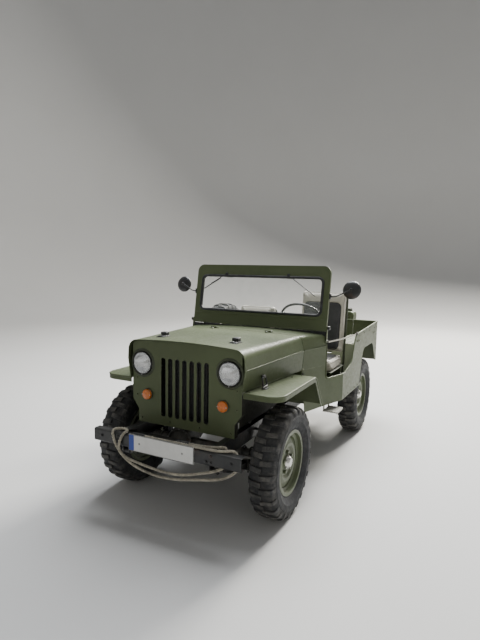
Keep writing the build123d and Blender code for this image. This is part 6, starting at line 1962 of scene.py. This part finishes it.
class CAR_OT_under_fittings(Making, bpy.types.Operator):
    """Adds exhaust bands, step treads, frame and hitch bolts and the drawbar's pin"""

    bl_idname = "car.under_fittings"
    bl_label = "Underside fittings"

    def execute(self, context):
        bands = [lathe("silencer_band", ((-9, 57.4), (-9, 60.6), (9, 60.6), (9, 57.4), (-9, 57.4)), (-470, y, 492),
                       AFT, 40) for y in (965, 1375)]
        bands += [lathe("silencer_seam", ((-3, 57), (-2, 60), (2, 60), (3, 57), (-3, 57)), (-470, y, 492), AFT, 40)
                  for y in (943, 1397)]
        bands += [line("silencer_hanger", [(-470, y, 551), (-470, y, 584)], 5) for y in (965, 1375)]
        fit("silencer_bands", bands, "exhaust_steel")
        treads = [block("step_tread", span(x, 3), (884, 1056), (499.6, 503.4), 1.2, 1) for x in range(632, 737, 13)]
        lip = block("step_lip", (738, 742.4), (880, 1060), (482, 503.5), 1.5)
        fit("step_treads", treads + [lip], "pale_step", both=True)
        bolted("hitch_bolts", 19, 10, grid(AFT, (-56, 56), 2508.3, (582, 630)), "greased_steel")
        places = grid(LEFT, 397.2, (-420, -380, 440, 620, 980, 1340), 530)
        bolted("frame_bolts", 13, 7, places, "chassis_black", both=True)
        pin = line("drawbar_pin", [(0, 2640, 590), (0, 2640, 622)], 10.5)
        head = lathe("pin_head", ((32, 0), (32, 17), (38, 17), (40, 14), (41, 0), (32, 0)), (0, 2640, 590), UP, 24)
        grip = line("pin_grip", [(-14, 2640, 630), (-14, 2640, 652), (14, 2640, 652), (14, 2640, 630)], 3, 12)
        fit("drawbar_pins", [pin, head, grip], "greased_steel")
        return {"FINISHED"}


# The spark plugs' places along the car
PLUGS = (30, 145, 260, 375)


class CAR_OT_engine_dressing(Making, bpy.types.Operator):
    """Dresses the engine with its cover, manifold, fan, air cleaner, battery and hoses"""

    bl_idname = "car.engine_dressing"
    bl_label = "Engine dressing"

    def execute(self, context):
        head = block("engine_head", (-72, 142), (-40, 425), (1038, 1062), 4)
        cover = block("rocker_cover", (-42, 112), (-28, 410), (1060, 1118), 20, 4)
        fit("engine_heads", [head, cover], "axle_iron")
        places = grid(UP, (-58, 128), (-10, 85, 190, 295, 400), 1061) + grid(UP, 35, (60, 320), 1117)
        bolted("head_bolts", 15, 9, places, "greased_steel")
        cap = lathe("oil_cap", ((0, 0), (0, 24), (16, 26), (19, 22), (20, 0)), (35, 190, 1116), UP, 28)
        cleaner = lathe("air_cleaner", ((0, 0), (0, 78), (6, 84), (70, 84), (74, 90), (84, 90), (88, 84), (118, 80),
                                        (124, 70), (126, 0)), (-262, 300, 948), UP, 48)
        horn = line("air_horn", [(-182, 300, 1022), (-120, 300, 1030), (-96, 210, 1010)], 26, 50, 5)
        fit("air_cleaners", [cap, cleaner, horn], "chassis_black")
        ports = [line("manifold_port", [(170, y, 930), (214, y, 915)], 22, 0, 5) for y in (20, 140, 260, 380)]
        log = line("manifold_log", [(214, -10, 912), (214, 400, 912)], 27, 0, 5)
        fit("manifolds", [*ports, log], "exhaust_steel")
        plugs = [lathe("plug", ((0, 9), (8, 9), (10, 6), (34, 5.4), (42, 4), (42, 0)), (132, y, 1040),
                       (0.5, 0, 0.866), 14) for y in PLUGS]
        wires = []
        for y in PLUGS:
            route = [(150, y, 1074), (176, y - 8, 1106), (150, 190 + (y - 200) * 0.3, 1128), (78, 200, 1130)]
            wires.append(line("plug_wire", route, 3.4, 24))
        battery = block("battery", (268, 418), (330, 500), (905, 1085), 5)
        hose = line("top_hose", [(60, -190, 1052), (60, -128, 1056), (40, -48, 1042), (40, 12, 1056)], 21, 30, 5)
        low_hose = line("low_hose", [(-110, -170, 690), (-110, -110, 690), (-60, -60, 740)], 20, 30, 5)
        fit("wires_and_hoses", [*plugs, *wires, battery, hose, low_hose], "seal_rubber")
        posts = [lathe("battery_post", ((0, 0), (0, 9), (15, 7.5), (16, 0)), (x, 360, 1085), UP, 16)
                 for x in (292, 394)]
        clamp = line("battery_bar", [(262, 415, 1010), (262, 415, 1090), (424, 415, 1090), (424, 415, 1010)], 4.5, 6)
        fit("battery_fittings", [*posts, clamp], "greased_steel")
        blade = slab("fan_blade", (-0.036, -0.0015, 0.030), (0.036, 0.0015, 0.172), 0.001, 1)
        blade.data.transform(rolled(28, "Z"))
        places = [set_at(35, -100, 850) @ rolled(90 * step + 20, "Y") for step in range(4)]
        blades = copies(blade, places, "fan_blades")
        hub = lathe("fan_hub", ((-12, 0), (-12, 36), (-4, 36), (-4, 62), (6, 62), (10, 52), (14, 52), (18, 62),
                                (28, 62), (28, 30), (42, 28), (42, 0)), (35, -104, 850), AFT, 40)
        fit("fans", [blades, hub], "chassis_black")
        return {"FINISHED"}


# The panel and the run

STEPS = (
    CAR_OT_materials, CAR_OT_stage, CAR_OT_tow_rope, CAR_OT_finishes, CAR_OT_tyres, CAR_OT_wheel_fittings,
    CAR_OT_lamps, CAR_OT_hood_fittings, CAR_OT_grille_fittings, CAR_OT_bumper_and_plate, CAR_OT_wing_edges,
    CAR_OT_windscreen, CAR_OT_mirrors, CAR_OT_cushions, CAR_OT_seat_fittings, CAR_OT_steering_wheel, CAR_OT_dash,
    CAR_OT_controls, CAR_OT_body_fittings, CAR_OT_load_space, CAR_OT_fuel_can, CAR_OT_axle_fittings,
    CAR_OT_under_fittings, CAR_OT_engine_dressing,
)


class VIEW3D_PT_army_car(bpy.types.Panel):
    """Lists the car's steps and settings"""

    bl_label = "Army car"
    bl_idname = "VIEW3D_PT_army_car"
    bl_space_type = "VIEW_3D"
    bl_region_type = "UI"
    bl_category = "Army car"

    def draw(self, context):
        for group in (context.scene.car_sizes, context.scene.car_colours):
            column = self.layout.column()
            for name in group.__annotations__:
                column.prop(group, name)
        for step in STEPS:
            self.layout.operator(step.bl_idname)


CLASSES = (CarSizes, CarColours, *STEPS, VIEW3D_PT_army_car)


def register():
    for each in CLASSES:
        bpy.utils.register_class(each)
    bpy.types.Scene.car_sizes = bpy.props.PointerProperty(type=CarSizes)
    bpy.types.Scene.car_colours = bpy.props.PointerProperty(type=CarColours)


def unregister():
    del bpy.types.Scene.car_sizes
    del bpy.types.Scene.car_colours
    for each in reversed(CLASSES):
        bpy.utils.unregister_class(each)


def main():
    """Makes the whole car round the frame."""
    register()
    for step in STEPS:
        group, name = step.bl_idname.split(".")
        getattr(getattr(bpy.ops, group), name)()
    only(None)


if __name__ == "__main__":
    main()
